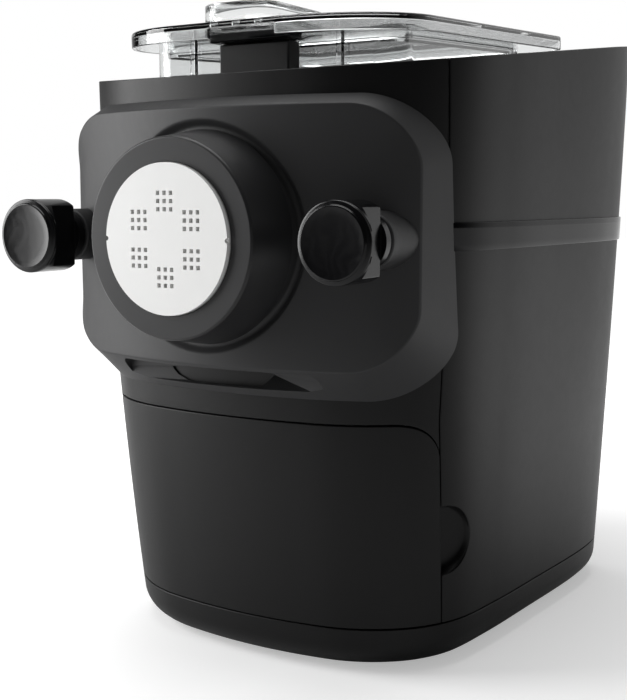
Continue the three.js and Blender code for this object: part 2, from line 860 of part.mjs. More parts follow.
// Drawer front, tray, runners and two spare discs
function drawer() {
  const skin = bodyBlock(0, baseSeamZ, 0).intersect(drawerRegion(0));
  const hollow = bodyBlock(casingWall, baseSeamZ - overrun, overrun);
  const ribs = [-1, 1].map((side) => block(
    side * trayRibX - trayRibThickness / 2, side * trayRibX + trayRibThickness / 2,
    faceY, behind(trayFrontDepth) - gap, baseSeamZ + overrun, baseSeamZ + trayHeight));
  const ribsInside = ribs.map((rib) => rib.intersect(skin));
  const front = joined(without(skin, hollow), ...ribsInside);
  add('drawer_front', front, casingBlack);

  const lowZ = trayLift;
  const highZ = lowZ + trayHeight - trayWall;
  const y0 = behind(trayFrontDepth);
  const y1 = behind(trayBackDepth);
  const box = block(-trayHalfWidth, trayHalfWidth, y0, y1, lowZ, highZ)
    .intersect(bodyBlock(casingWall + gap, baseSeamZ, 0));
  const hollowBox = block(-trayHalfWidth + trayWall, trayHalfWidth - trayWall,
    y0 + trayWall, y1 - trayWall, lowZ + trayWall, highZ + overrun)
    .intersect(bodyBlock(casingWall + gap + trayWall, baseSeamZ, 0));
  const flanges = [-1, 1].map((side) => {
    const edge = side * (trayHalfWidth + trayFlangeWidth);
    const root = side * (trayHalfWidth - trayWall / 2);
    return block(Math.min(edge, root), Math.max(edge, root), behind(runnerFrontDepth), y1,
      trayFlangeZ, trayFlangeZ + trayFlangeThickness);
  });
  add('drawer_tray', without(joined(box, ...flanges), hollowBox), frameGrey);

  [['left', -1], ['right', 1]].forEach(([name, side]) => {
    const near = side * (legX - legSize - gap - runnerWidth);
    const far = side * (legX - legSize - gap);
    const rail = block(Math.min(near, far), Math.max(near, far), behind(runnerFrontDepth),
      behind(runnerBackDepth), trayFlangeZ - gap - runnerHeight, trayFlangeZ - gap);
    add(`drawer_runner_${name}`, rail, frameGrey);
  });

  const dieZ = lowZ + trayWall + gap;
  const dieY = (y0 + y1) / 2;
  const dieX = trayHalfWidth / 2;
  const slots = [-1, 0, 1].map((row) => block(
    dieX - spareGroupRadius, dieX + spareGroupRadius,
    dieY + row * spareSlotPitch - spareSlotWidth / 2, dieY + row * spareSlotPitch + spareSlotWidth / 2,
    0, drawerTopZ));
  const round = (x) => barZ(spareDiscRadius, dieZ, dieZ + discBackDepth, x, dieY);
  add('spare_disc_flat', without(round(dieX), ...slots), discWhite);
  const holes = Array.from({ length: discGroups }, (_, k) => {
    const angle = (k / discGroups) * 2 * Math.PI;
    return barZ(spareHoleRadius, 0, drawerTopZ, -dieX + spareGroupRadius * Math.cos(angle),
      dieY + spareGroupRadius * Math.sin(angle), spareHoleSteps);
  });
  add('spare_disc_round', without(round(-dieX), ...holes), discWhite);
}

// Rounded outline of the front module in X and Z about the nozzle axis, at a number of depths
function moduleRing(halfWidth, aboveAxis, belowAxis, radius, depthAt) {
  const corners = [[1, -belowAxis, -90], [1, aboveAxis, 0], [-1, aboveAxis, 90], [-1, -belowAxis, 180]];
  const arcs = corners.map(([side, edge, start]) => Array.from({ length: plateArcSteps + 1 }, (_, k) => {
    const angle = THREE.MathUtils.degToRad(start + 90 * k / plateArcSteps);
    const centreX = side * (halfWidth - radius);
    const centreZ = edge - Math.sign(edge) * radius;
    return new THREE.Vector2(centreX + radius * Math.cos(angle), centreZ + radius * Math.sin(angle));
  }));
  const outline = arcs.flatMap((arc, n) => {
    const end = arc[plateArcSteps];
    const next = arcs[(n + 1) % arcs.length][0];
    const steps = n % 2 ? plateRunSteps : 1;
    const run = Array.from({ length: steps - 1 }, (_, k) => end.clone().lerp(next, (k + 1) / steps));
    return [...arc, ...run];
  });
  return outline.map(({ x, y }) => new THREE.Vector3(x, behind(depthAt(x, y)), nozzleHeight + y));
}

// How far the front face, or a surface a wall behind it, falls back beside the middle: a wide bow
// that curls back at the sides
function bowDrop(x, wall) {
  const tilt = Math.asin(plateCurlStart / plateBowRadius);
  const bow = plateBowRadius - wall;
  const curl = plateCurlRadius - wall;
  const start = bow * Math.sin(tilt);
  const across = Math.abs(x);
  if (across <= start) {
    return bow - Math.sqrt(bow * bow - across * across);
  }
  const sine = Math.min(1, Math.sin(tilt) + (across - start) / curl);
  return bow * (1 - Math.cos(tilt)) + curl * (Math.cos(tilt) - Math.sqrt(1 - sine * sine));
}

// Depth of the casing's front at X and Z, on its surface moved inwards by an inset
function casingDepthAt(x, z, inset) {
  const ring = flatRing(z, inset);
  const across = Math.abs(x);
  const k = Math.max(1, ring.findIndex((point) => point.x >= across));
  const before = ring[k - 1];
  const share = (across - before.x) / (ring[k].x - before.x);
  return before.y + share * (ring[k].y - before.y) - faceY;
}

const fromFront = (point) => new THREE.Vector2(point.x, point.z);

// The space behind the bowed front face of the module, moved back by a wall
function bowRegion(wall) {
  const reach = skirtHalfWidth + overrun;
  const slope = plateCurlStart / plateBowRadius;
  const start = (plateBowRadius - wall) * slope;
  const curlWidth = (plateCurlRadius - wall) * (1 - slope);
  const middle = Array.from({ length: plateBowSteps + 1 }, (_, k) => start * (2 * k / plateBowSteps - 1));
  const right = Array.from({ length: plateCurlSteps }, (_, k) => start + curlWidth * (k + 1) / plateCurlSteps);
  const across = [...right, reach].reverse().map((x) => -x).concat(middle, right, reach);
  const shape = new THREE.Shape();
  const points = across.map((x) => new THREE.Vector2(x, behind(plateFrontDepth + wall + bowDrop(x, wall))));
  shape.setFromPoints([...points, new THREE.Vector2(reach, 0), new THREE.Vector2(-reach, 0)]);
  return solid(prismZ(shape, nozzleHeight - skirtBelowAxis - overrun, nozzleHeight + skirtAboveAxis + overrun));
}

function moduleBlock(wall, below) {
  const edge = (x) => plateFrontDepth + bowDrop(x, 0);
  const skirt = (x, z) => casingDepthAt(x, nozzleHeight + z, skirtSink);
  const plateLow = Math.min(plateHalfHeight - wall, below);
  const skirtLow = Math.min(skirtBelowAxis - wall, below);
  const rings = [
    moduleRing(plateHalfWidth - wall, plateHalfHeight - wall, plateLow, plateCornerRadius - wall,
      () => plateFrontDepth - overrun),
    moduleRing(plateHalfWidth - wall, plateHalfHeight - wall, plateLow, plateCornerRadius - wall, edge),
    moduleRing(skirtHalfWidth - wall, skirtAboveAxis - wall, skirtLow, skirtCornerRadius - wall, skirt),
    moduleRing(skirtHalfWidth - skirtTaper - wall, skirtAboveAxis - skirtTaper - wall,
      Math.min(skirtLow, skirtBelowAxis - skirtTaper - wall), skirtCornerRadius - wall,
      () => skirtBackDepth + wall),
  ];
  return loft(rings, fromFront).intersect(bowRegion(wall));
}

// Bowed plate with its bevelled skirt, dish round the nozzle, knob bosses and finger slot
function frontModule() {
  const skin = without(moduleBlock(0, skirtBelowAxis), moduleBlock(plateWall, cavityFloorBelowAxis));
  const round = (radius) => barY(radius, faceY, behind(collarBackDepth), 0, nozzleHeight, fineRoundSteps);
  const dish = without(round(dishRadius), bowRegion(dishDepth));
  const backing = without(round(dishRadius + plateWall).intersect(bowRegion(plateWall / 2)),
    bowRegion(dishDepth + plateWall));
  const collar = barY(collarRadius, behind(ringBackDepth) + gap, behind(collarBackDepth), 0, nozzleHeight);
  const knobDepth = plateFrontDepth + bowDrop(knobAxisX, 0);
  const bosses = [-1, 1].map((side) => barY(
    bossRadius, behind(bossFrontDepth), behind(knobDepth + bossRoot), side * knobAxisX, nozzleHeight));
  const screwHoles = [-1, 1].map((side) => barY(
    screwHoleRadius, faceY, 0, side * knobAxisX, nozzleHeight, smallRoundSteps));
  const spigotHole = barY(spigotRadius + gap, faceY, 0, 0, nozzleHeight);
  const body = joined(without(joined(skin, backing), dish), collar, ...bosses);
  const housing = bodyBlock(-housingClearance, baseSeamZ, 0);
  const bandRoom = bodyBlock(-bandProud - gap, baseSeamZ, 0).intersect(block(
    -bodyHalfWidthTop, bodyHalfWidthTop, faceY, backY, bandLowZ - gap, bandHighZ + gap));
  add('module_plate', without(body, spigotHole, ...screwHoles, housing, bandRoom, gripPocket()), moduleBlack);
}

function gripPocket() {
  const low = -gripBelowAxis - gripHeight / 2;
  const mouth = roundedRect(-gripHalfLength, gripHalfLength, low, low + gripHeight, gripCornerRadius);
  const start = behind(plateFrontDepth);
  const end = behind(plateFrontDepth + gripPocketDepth);
  const pocket = prismY(mouth, start, end);
  pocket.translate(0, 0, nozzleHeight);
  return without(solid(pocket), bodyBlock(-housingClearance - gripBackWall, baseSeamZ, 0));
}

// Tube that the dough is pressed through, with the threaded spigot in front and a seal behind
function extrusionTube() {
  const tubeRadius = tubeBoreRadius + tubeWall;
  const web = spigotFrontDepth + spigotWall;
  add('extrusion_tube', turnedY([
    [tubeBoreRadius, spigotFrontDepth], [spigotRadius, spigotFrontDepth], [spigotRadius, spigotBackDepth],
    [spigotRadius - spigotWall, spigotBackDepth], [spigotRadius - spigotWall, web], [tubeRadius, web],
    [tubeRadius, tubeBackDepth], [tubeBoreRadius, tubeBackDepth], [tubeBoreRadius, spigotFrontDepth],
  ], 0, nozzleHeight), frameGrey);
  add('tube_seal', turnedY([
    [chamberFrontHoleRadius, tubeBackDepth + gap], [tubeSealRadius, tubeBackDepth + gap],
    [tubeSealRadius, chamberFrontDepth - gap], [chamberFrontHoleRadius, chamberFrontDepth - gap],
    [chamberFrontHoleRadius, tubeBackDepth + gap],
  ], 0, nozzleHeight), rubber);
}

function shapingDisc() {
  const body = turnedY([
    [0, 0], [discRadius, 0], [discRadius, discFlangeDepth], [discFlangeRadius, discFlangeDepth],
    [discFlangeRadius, discBackDepth], [discHollowRadius, discBackDepth],
    [discHollowRadius, discPlateThickness], [0, discPlateThickness],
  ], 0, nozzleHeight, fineRoundSteps);
  const middle = (discHolesPerSide - 1) / 2;
  const holes = [];
  for (let group = 0; group < discGroups; group += 1) {
    const angle = Math.PI / 2 + (group / discGroups) * 2 * Math.PI;
    for (let column = 0; column < discHolesPerSide; column += 1) {
      for (let row = 0; row < discHolesPerSide; row += 1) {
        const x = discGroupRadius * Math.cos(angle) + (column - middle) * discHolePitch;
        const z = nozzleHeight + discGroupRadius * Math.sin(angle) + (row - middle) * discHolePitch;
        holes.push(block(x - discHoleSize / 2, x + discHoleSize / 2, faceY - overrun,
          behind(discPlateThickness) + overrun, z - discHoleSize / 2, z + discHoleSize / 2));
      }
    }
  }
  const notches = [-1, 1].map((side) => barY(discNotchRadius, faceY - overrun, behind(discNotchDepth),
    side * discRadius, nozzleHeight, smallRoundSteps));
  add('shaping_disc', without(body, ...holes, ...notches), discWhite);
}

function ringNut() {
  add('ring_nut', turnedY([
    [ringOpeningRadius, ringFrontDepth], [ringFaceRadius, ringFrontDepth],
    [ringFrontRadius, ringFrontDepth + ringChamfer], [ringRootRadius, ringBackDepth],
    [ringBoreRadius, ringBackDepth], [ringBoreRadius, ringLipDepth], [ringOpeningRadius, ringLipDepth],
    [ringOpeningRadius, ringFrontDepth],
  ], 0, nozzleHeight, fineRoundSteps), moduleBlack);
}

// Knob, captive screw and washer on each side
function clampingKnob(name, side) {
  const x = side * knobAxisX;
  const socket = screwRadius + gap;
  const turned = turnedY([
    [0, knobFrontDepth + knobFaceDish], [knobDishRadius, knobFrontDepth + knobFaceDish],
    [knobFaceRadius, knobFrontDepth], [knobRadius, knobHeadDepth - knobFaceDish],
    [knobRadius, knobGripBackDepth], [knobCollarRadius, knobGripBackDepth], [knobCollarRadius, knobBackDepth],
    [socket, knobBackDepth], [socket, screwSocketDepth], [0, screwSocketDepth],
  ], x, nozzleHeight);
  const flats = [-1, 1].map((edge) => {
    const near = x + edge * knobFlatHalfWidth;
    const far = x + edge * (knobRadius + overrun);
    return block(Math.min(near, far), Math.max(near, far), behind(knobHeadDepth),
      behind(knobGripBackDepth), nozzleHeight - knobRadius - overrun, nozzleHeight + knobRadius + overrun);
  });
  add(`knob_${name}`, without(turned, ...flats), glossBlack);
  add(`clamp_screw_${name}`, barY(screwRadius, behind(screwSocketDepth + gap), behind(screwTipDepth),
    x, nozzleHeight, smallRoundSteps), steel);
  const washerBack = bossFrontDepth - gap;
  add(`clamp_washer_${name}`, turnedY([
    [socket, washerBack - washerThickness], [washerRadius, washerBack - washerThickness],
    [washerRadius, washerBack], [socket, washerBack], [socket, washerBack - washerThickness],
  ], x, nozzleHeight, smallRoundSteps), steel);
  const nutFront = behind(bracketDepth + bracketThickness) + gap;
  const nut = barY(clampNutRadius, nutFront, nutFront + clampNutLength, x, nozzleHeight, clampNutSides);
  add(`clamp_nut_${name}`, without(nut, barY(socket, faceY, 0, x, nozzleHeight, smallRoundSteps)), brass);
}

const lidTilt = Math.atan(lidSlope);

// Moves a piece drawn on the lid's own plane to its place: Y runs back, Z stands on the flange
function onLid(geometry) {
  geometry.rotateX(lidTilt);
  geometry.translate(0, behind(lidFrontDepth), lidFrontZ);
  return solid(geometry);
}

function troughShape(radius, floor) {
  const shape = new THREE.Shape();
  shape.moveTo(-radius, skyZ);
  shape.lineTo(-radius, floor);
  shape.absarc(0, floor, radius, Math.PI, 2 * Math.PI, false);
  shape.lineTo(radius, skyZ);
  shape.closePath();
  return shape;
}

function chamberBlock(wall) {
  const halfWidth = chamberHalfWidth - wall;
  const front = behind(chamberFrontDepth) + wall;
  const back = behind(chamberBackDepth) - wall;
  const trough = solid(prismY(troughShape(halfWidth, nozzleHeight), front, back, chamberArcSteps));
  const outline = roundedRect(-halfWidth, halfWidth, front, back, chamberCornerRadius - wall);
  return trough.intersect(solid(prismZ(outline, 0, skyZ)));
}

// Clear mixing chamber: round bottom about the nozzle axis, top under the lid's plate
function mixingChamber() {
  const lidUnder = lidThickness - lidPlate - gap;
  const aboveTop = onLid(prismZ(roundedRect(-lidLength, lidLength, -lidLength, lidLength,
    lidCornerRadius), lidUnder, lidUnder + lidLength));
  const ribs = [-1, 1].map((side) => block(
    side * chamberRibX - chamberRibWidth / 2, side * chamberRibX + chamberRibWidth / 2,
    behind(chamberFrontDepth - chamberRibProud), behind(chamberFrontDepth) + chamberRibRoot,
    nozzleHeight + tubeSealRadius + chamberRibFoot, skyZ));
  const frontHole = barY(chamberFrontHoleRadius, faceY, 0, 0, nozzleHeight);
  const sealHole = barY(shaftSealRadius + gap, 0, backY, 0, nozzleHeight, smallRoundSteps);
  add('mixing_chamber', without(joined(chamberBlock(0), ...ribs), chamberBlock(chamberWall), aboveTop,
    frontHole, sealHole), clear);
  add('shaft_seal', turnedY([
    [shaftRadius + gap, shaftSealFrontDepth], [shaftSealRadius, shaftSealFrontDepth],
    [shaftSealRadius, chamberBackDepth + shaftSealProud], [shaftRadius + gap, chamberBackDepth + shaftSealProud],
    [shaftRadius + gap, shaftSealFrontDepth],
  ], 0, nozzleHeight, smallRoundSteps), rubber);
}

// Clear lid: plate with a skirt, a rib that locates it in the chamber, and the raised water inlet
function lid() {
  const under = lidThickness - lidPlate;
  const outline = (inset) => roundedRect(-lidHalfWidth + inset, lidHalfWidth - inset, inset,
    lidLength - inset, lidCornerRadius - inset, lidBackCornerRadius - inset);
  const outer = onLid(prismZ(outline(0), 0, lidThickness, lidCornerSteps));
  const hollow = onLid(prismZ(outline(lidSkirt), -overrun, under, lidCornerSteps));
  const ribHalf = chamberHalfWidth - chamberWall - lidRibClearance;
  const ribFront = chamberFrontDepth + chamberWall + lidRibClearance - lidFrontDepth;
  const ribBack = chamberBackDepth - chamberWall - lidRibClearance - lidFrontDepth;
  const ribRadius = chamberCornerRadius - chamberWall;
  const rib = (inset, z0, z1) => onLid(prismZ(roundedRect(-ribHalf + inset, ribHalf - inset,
    ribFront + inset, ribBack - inset, ribRadius - inset), z0, z1));
  const notch = onLid(boxBetween(notchX - notchHalfWidth, notchX + notchHalfWidth, -overrun,
    lidSkirt + overrun, -overrun, under - gap));
  const inletFront = inletFrontDepth - lidFrontDepth;
  const inlet = (inset, z0, z1) => onLid(prismZ(roundedRect(inletX - inletHalfWidth + inset,
    inletX + inletHalfWidth - inset, inletFront + inset, inletFront + inletLength - inset,
    inletCornerRadius - inset), z0, z1));
  const slots = Array.from({ length: inletSlots }, (_, k) => {
    const x = inletX + (k - (inletSlots - 1) / 2) * inletSlotPitch;
    const y = inletFront + inletLength - inletCornerRadius - inletSlotLength;
    return onLid(boxBetween(x - inletSlotWidth / 2, x + inletSlotWidth / 2, y, y + inletSlotLength,
      0, lidThickness + overrun));
  });
  const above = block(-lidHalfWidth, lidHalfWidth, faceY, backY, inletTopZ, inletTopZ + inletRise);
  const tray = without(outer, hollow);
  const inletRing = without(inlet(0, under + lidPlateJoin, inletRise),
    inlet(inletWall, lidThickness, inletRise + overrun), above);
  const ribRing = without(rib(0, under - lidRibDrop, under + lidPlateJoin),
    rib(lidRibWall, under - lidRibDrop - overrun, under));
  add('lid', without(joined(tray, inletRing, ribRing), notch, ...slots), clear);
}

// Black block in front of the chamber, and the thumb slide of the lid lock on it
function lidLock() {
  const stemFront = behind(latchStemFrontDepth);
  const stemBack = stemFront + latchStemLength;
  const slabZ = towerTopZ + gap;
  const tower = without(
    block(-towerHalfWidth, towerHalfWidth, behind(towerFrontDepth), behind(chamberFrontDepth) - gap,
      rimFrontZ - deckDrop, towerTopZ),
    bodyBlock(0, baseSeamZ, gap - deckDrop),
    block(-latchStemHalfWidth - gap, latchStemHalfWidth + gap, stemFront - latchTravel - gap,
      stemBack + gap, slabZ - latchStemDrop - gap, skyZ));
  add('latch_tower', tower, casingBlack);
  const slab = block(-latchHalfWidth, latchHalfWidth, behind(latchFrontDepth), behind(latchBackDepth),
    slabZ, slabZ + latchThickness);
  const stem = block(-latchStemHalfWidth, latchStemHalfWidth, stemFront, stemBack,
    slabZ - latchStemDrop, slabZ + latchStemRoot);
  add('lid_latch', joined(slab, stem), glossBlack);
}

const rimTilt = Math.atan(rimSlope);

// Moves a piece drawn on the deck's top to its place on the control strip
function onDeck(geometry) {
  geometry.rotateX(rimTilt);
  const y = behind(controlDepth);
  geometry.translate(0, y, rimZ(y) - deckDrop);
  return solid(geometry);
}

function deckBar(radius, x, z0, z1) {
  const bar = new THREE.CylinderGeometry(radius, radius, z1 - z0, smallRoundSteps);
  bar.rotateX(Math.PI / 2);
  bar.translate(x, 0, (z0 + z1) / 2);
  return onDeck(bar);
}

function deckBlock(...sides) {
  return onDeck(boxBetween(...sides));
}

// Deck inside the rim, with the chamber's opening and the control strip at the back
function topDeck() {
  const edge = casingWall + gap;
  const plate = loft([rimRing(edge, -deckDrop - deckThickness), rimRing(edge, -deckDrop)], fromAbove);
  const opening = solid(prismZ(roundedRect(-chamberHalfWidth - seamGap, chamberHalfWidth + seamGap,
    behind(chamberFrontDepth) - seamGap, behind(chamberBackDepth) + seamGap, chamberCornerRadius), 0, skyZ));
  const ribGaps = [-1, 1].map((side) => block(
    side * chamberRibX - chamberRibWidth, side * chamberRibX + chamberRibWidth,
    behind(chamberFrontDepth - chamberRibProud) - seamGap, behind(chamberFrontDepth) + overrun, 0, skyZ));
  const buttons = buttonPlaces().map((x) => deckBar(buttonRadius + gap, x, -deckThickness - overrun, overrun));
  const pocket = deckBlock(displayX - displayHalfWidth - gap, displayX + displayHalfWidth + gap,
    -displayLength / 2 - gap, displayLength / 2 + gap, -displayThickness - gap, overrun);
  const sight = deckBlock(displayX - displayHalfWidth + overrun, displayX + displayHalfWidth - overrun,
    overrun - displayLength / 2, displayLength / 2 - overrun, -deckThickness - overrun, 0);
  const posts = [-1, 1].map((side) => deckBar(boardPostRadius, side * boardPostX,
    gap - boardDrop, -boardPostRoot));
  add('top_deck', without(joined(plate, ...posts), opening, ...ribGaps, ...buttons, pocket, sight), casingBlack);
  add('display_window', deckBlock(displayX - displayHalfWidth, displayX + displayHalfWidth,
    -displayLength / 2, displayLength / 2, -displayThickness, 0), smokyGlass);
}

function buttonPlaces() {
  return Array.from({ length: buttonCount }, (_, k) => buttonFirstX + k * buttonPitch);
}

function controls() {
  const flangeTop = -deckThickness - gap;
  const flangeBottom = flangeTop - buttonFlangeThickness;
  buttonPlaces().forEach((x, k) => {
    const cap = deckBar(buttonRadius, x, flangeBottom + buttonRoot, buttonProud);
    const flange = deckBar(buttonFlangeRadius, x, flangeBottom, flangeTop);
    add(`button_${k + 1}`, joined(cap, flange), glossBlack);
  });
  const board = deckBlock(-boardHalfWidth, boardHalfWidth, -boardLength / 2, boardLength / 2,
    -boardDrop - boardThickness, -boardDrop);
  const switches = buttonPlaces().map((x) => deckBar(switchRadius, x, -boardDrop - boardPostRoot,
    flangeBottom - buttonTravel - gap));
  add('control_board', joined(board, ...switches), boardGreen);
}

// Frame that carries the chamber, the clamp nuts and the drawer runners
function chassis() {
  const plateTop = deckPlateZ + deckPlateThickness;
  const plate = block(-frameHalfWidth, frameHalfWidth, behind(frameFrontDepth), behind(frameBackDepth),
    deckPlateZ, plateTop);
  const cradles = [cradleFrontDepth, cradleBackDepth].map((depth) => block(
    -chamberHalfWidth, chamberHalfWidth, behind(depth), behind(depth) + cradleThickness,
    deckPlateZ, cradleTopZ));
  const trough = solid(prismY(troughShape(chamberHalfWidth + gap, nozzleHeight), faceY, backY, chamberArcSteps));
  const legs = [-1, 1].flatMap((side) => [legFrontDepth, legBackDepth].map((depth) => block(
    side * legX - legSize, side * legX + legSize, behind(depth) - legSize, behind(depth) + legSize,
    baseSeamZ - seamGap + gap, plateTop)));
  const brackets = [-1, 1].map((side) => block(
    side * knobAxisX - bracketHalfWidth, side * knobAxisX + bracketHalfWidth,
    behind(bracketDepth), behind(bracketDepth) + bracketThickness, deckPlateZ, bracketTopZ));
  const holes = [-1, 1].map((side) => barY(
    screwHoleRadius, faceY, 0, side * knobAxisX, nozzleHeight, smallRoundSteps));
  add('chassis', without(joined(plate, ...cradles, ...legs, ...brackets), trough, ...holes), frameGrey);
}

// Gear train
const toRadians = THREE.MathUtils.degToRad;

function pitchRadius(teeth, size) {
  return teeth * size / 2;
}

function below(place, distance, angle) {
  return { x: place.x + distance * Math.sin(angle), z: place.z - distance * Math.cos(angle) };
}

const outputPlace = { x: 0, z: nozzleHeight };
const slowDistance = pitchRadius(outputTeeth + slowPinionTeeth, outputModule);
const fastDistance = pitchRadius(slowGearTeeth + fastPinionTeeth, middleModule);
const motorDistance = pitchRadius(fastGearTeeth + motorPinionTeeth, inputModule);
const slowPlace = below(outputPlace, slowDistance, toRadians(slowIdlerAngle));
const fastPlace = below(slowPlace, fastDistance, toRadians(fastIdlerAngle));
const motorAngle = Math.asin(-fastPlace.x / motorDistance);
const motorPlace = below(fastPlace, motorDistance, motorAngle);

function involute(angle) {
  return Math.tan(angle) - angle;
}

// Involute teeth: the first tooth points along the given angle
function gearSolid(teeth, size, place, depth, pointing) {
  const pitch = pitchRadius(teeth, size);
  const baseRadius = pitch * Math.cos(toRadians(pressureAngle));
  const halfAt = (radius) => {
    const flank = Math.acos(Math.min(1, baseRadius / radius));
    const half = Math.PI / (2 * teeth) - backlash / (4 * pitch);
    return half + involute(toRadians(pressureAngle)) - involute(flank);
  };
  const root = pitch - rootShare * size;
  const tip = pitch + tipShare * size;
  const flanks = [[root, halfAt(Math.max(root, baseRadius))], [tip, halfAt(tip)]];
  const outline = Array.from({ length: teeth }, (_, k) => {
    const middle = pointing + (k / teeth) * 2 * Math.PI;
    const rising = flanks.map(([radius, half]) => [radius, middle - half]);
    const falling = flanks.map(([radius, half]) => [radius, middle + half]).reverse();
    return [...rising, ...falling].map(([radius, angle]) => new THREE.Vector2(
      place.x + radius * Math.cos(angle), place.z + radius * Math.sin(angle)));
  }).flat();
  return solid(prismY(new THREE.Shape(outline), behind(depth), behind(depth) + gearFace));
}

// Angle from one gear centre to another, and the pointing that sets a gap against a tooth there
function towards(from, to) {
  return Math.atan2(to.z - from.z, to.x - from.x);
}

function meshing(from, to, teeth) {
  return towards(to, from) + Math.PI / teeth;
}

function gears() {
  const bore = (radius, place) => barY(radius + gap, faceY, backY, place.x, place.z, smallRoundSteps);
  const output = gearSolid(outputTeeth, outputModule, outputPlace, outputGearDepth,
    towards(outputPlace, slowPlace));
  add('output_gear', without(output, bore(shaftRadius, outputPlace)), whiteGear);

  const idler = (name, place, gear, pinion) => {
    const shaft = barY(idlerShaftRadius, behind(idlerFrontDepth), behind(gearboxBackDepth) - gap,
      place.x, place.z, smallRoundSteps);
    const neck = barY(idlerNeckRadius, gear.y + gearFace / 2, pinion.y + gearFace / 2,
      place.x, place.z, smallRoundSteps);
    add(name, joined(gear.solid, pinion.solid, neck, shaft), whiteGear);
  };
  idler('slow_idler_gear', slowPlace, {
    y: behind(middleGearDepth),
    solid: gearSolid(slowGearTeeth, middleModule, slowPlace, middleGearDepth, towards(slowPlace, fastPlace)),
  }, {
    y: behind(outputGearDepth),
    solid: gearSolid(slowPinionTeeth, outputModule, slowPlace, outputGearDepth,
      meshing(outputPlace, slowPlace, slowPinionTeeth)),
  });
  idler('fast_idler_gear', fastPlace, {
    y: behind(inputGearDepth),
    solid: gearSolid(fastGearTeeth, inputModule, fastPlace, inputGearDepth, towards(fastPlace, motorPlace)),
  }, {
    y: behind(middleGearDepth),
    solid: gearSolid(fastPinionTeeth, middleModule, fastPlace, middleGearDepth,
      meshing(slowPlace, fastPlace, fastPinionTeeth)),
  });
  const pinion = gearSolid(motorPinionTeeth, inputModule, motorPlace, inputGearDepth,
    meshing(fastPlace, motorPlace, motorPinionTeeth));
  add('motor_pinion', without(pinion, bore(motorShaftRadius, motorPlace)), steel);
}

function gearbox() {
  const outline = (inset) => roundedRect(-gearboxHalfWidth + inset, gearboxHalfWidth - inset,
    gearboxLowZ + inset, gearboxHighZ - inset, gearboxCornerRadius - inset);
  const shaftHoles = [slowPlace, fastPlace].map((place) => barY(
    idlerShaftRadius + gap, faceY, backY, place.x, place.z, smallRoundSteps));
  const shell = solid(prismY(outline(0), behind(gearboxFrontDepth), behind(gearboxBackDepth)));
  const hollow = solid(prismY(outline(gearboxWall), behind(gearboxFrontDepth) - overrun,
    behind(gearboxBackDepth) - gearboxWall));
  const outputHole = barY(shaftRadius + gap, faceY, backY, 0, nozzleHeight, smallRoundSteps);
  add('gearbox_case', without(shell, hollow, outputHole, ...shaftHoles), darkSteel);
  const cover = solid(prismY(outline(0), behind(gearboxCoverDepth),
    behind(gearboxCoverDepth) + gearboxCoverThickness));
  const bearingHole = barY(bearingRadius + gap, faceY, backY, 0, nozzleHeight);
  const motorHole = barY(motorShaftRadius + gap, faceY, backY, motorPlace.x, motorPlace.z, smallRoundSteps);
  add('gearbox_cover', without(cover, bearingHole, motorHole, ...shaftHoles), darkSteel);
  const back = gearboxCoverDepth + gearboxCoverThickness;
  add('output_bearing', turnedY([
    [shaftRadius + gap, gearboxCoverDepth], [bearingRadius, gearboxCoverDepth], [bearingRadius, back],
    [shaftRadius + gap, back], [shaftRadius + gap, gearboxCoverDepth],
  ], 0, nozzleHeight), brass);
}

function motor() {
  const inner = motorRadius - motorWall;
  const canBack = gearboxCoverDepth - gap;
  add('motor_can', turnedY([
    [motorCapHoleRadius, motorFrontDepth], [motorRadius, motorFrontDepth], [motorRadius, canBack],
    [inner, canBack], [inner, motorFrontDepth + motorWall],
    [motorCapHoleRadius, motorFrontDepth + motorWall], [motorCapHoleRadius, motorFrontDepth],
  ], motorPlace.x, motorPlace.z), darkSteel);
  add('motor_stator', turnedY([
    [statorBoreRadius, statorFrontDepth], [inner - gap, statorFrontDepth], [inner - gap, statorBackDepth],
    [statorBoreRadius, statorBackDepth], [statorBoreRadius, statorFrontDepth],
  ], motorPlace.x, motorPlace.z), copper);
  const rotorFront = statorFrontDepth + overrun;
  const rotorBack = statorBackDepth - overrun;
  add('motor_rotor', turnedY([
    [0, motorShaftFrontDepth], [motorShaftRadius, motorShaftFrontDepth], [motorShaftRadius, rotorFront],
    [rotorRadius, rotorFront], [rotorRadius, rotorBack], [motorShaftRadius, rotorBack],
    [motorShaftRadius, motorShaftBackDepth], [0, motorShaftBackDepth],
  ], motorPlace.x, motorPlace.z, smallRoundSteps), steel);
  const hub = barY(fanHubRadius, behind(fanDepth), behind(fanDepth) + fanLength,
    motorPlace.x, motorPlace.z, smallRoundSteps);
  const blades = Array.from({ length: fanBlades }, (_, k) => {
    const blade = new THREE.BoxGeometry(fanRadius - fanBladeRoot, fanLength, fanBladeThickness);
    blade.translate((fanRadius + fanBladeRoot) / 2, 0, 0);
    blade.rotateY((k / fanBlades) * 2 * Math.PI);
    blade.translate(motorPlace.x, behind(fanDepth) + fanLength / 2, motorPlace.z);
    return solid(blade);
  });
  const bore = barY(motorShaftRadius + gap, faceY, backY, motorPlace.x, motorPlace.z, smallRoundSteps);
  add('cooling_fan', without(joined(hub, ...blades), bore), frameGrey);
}

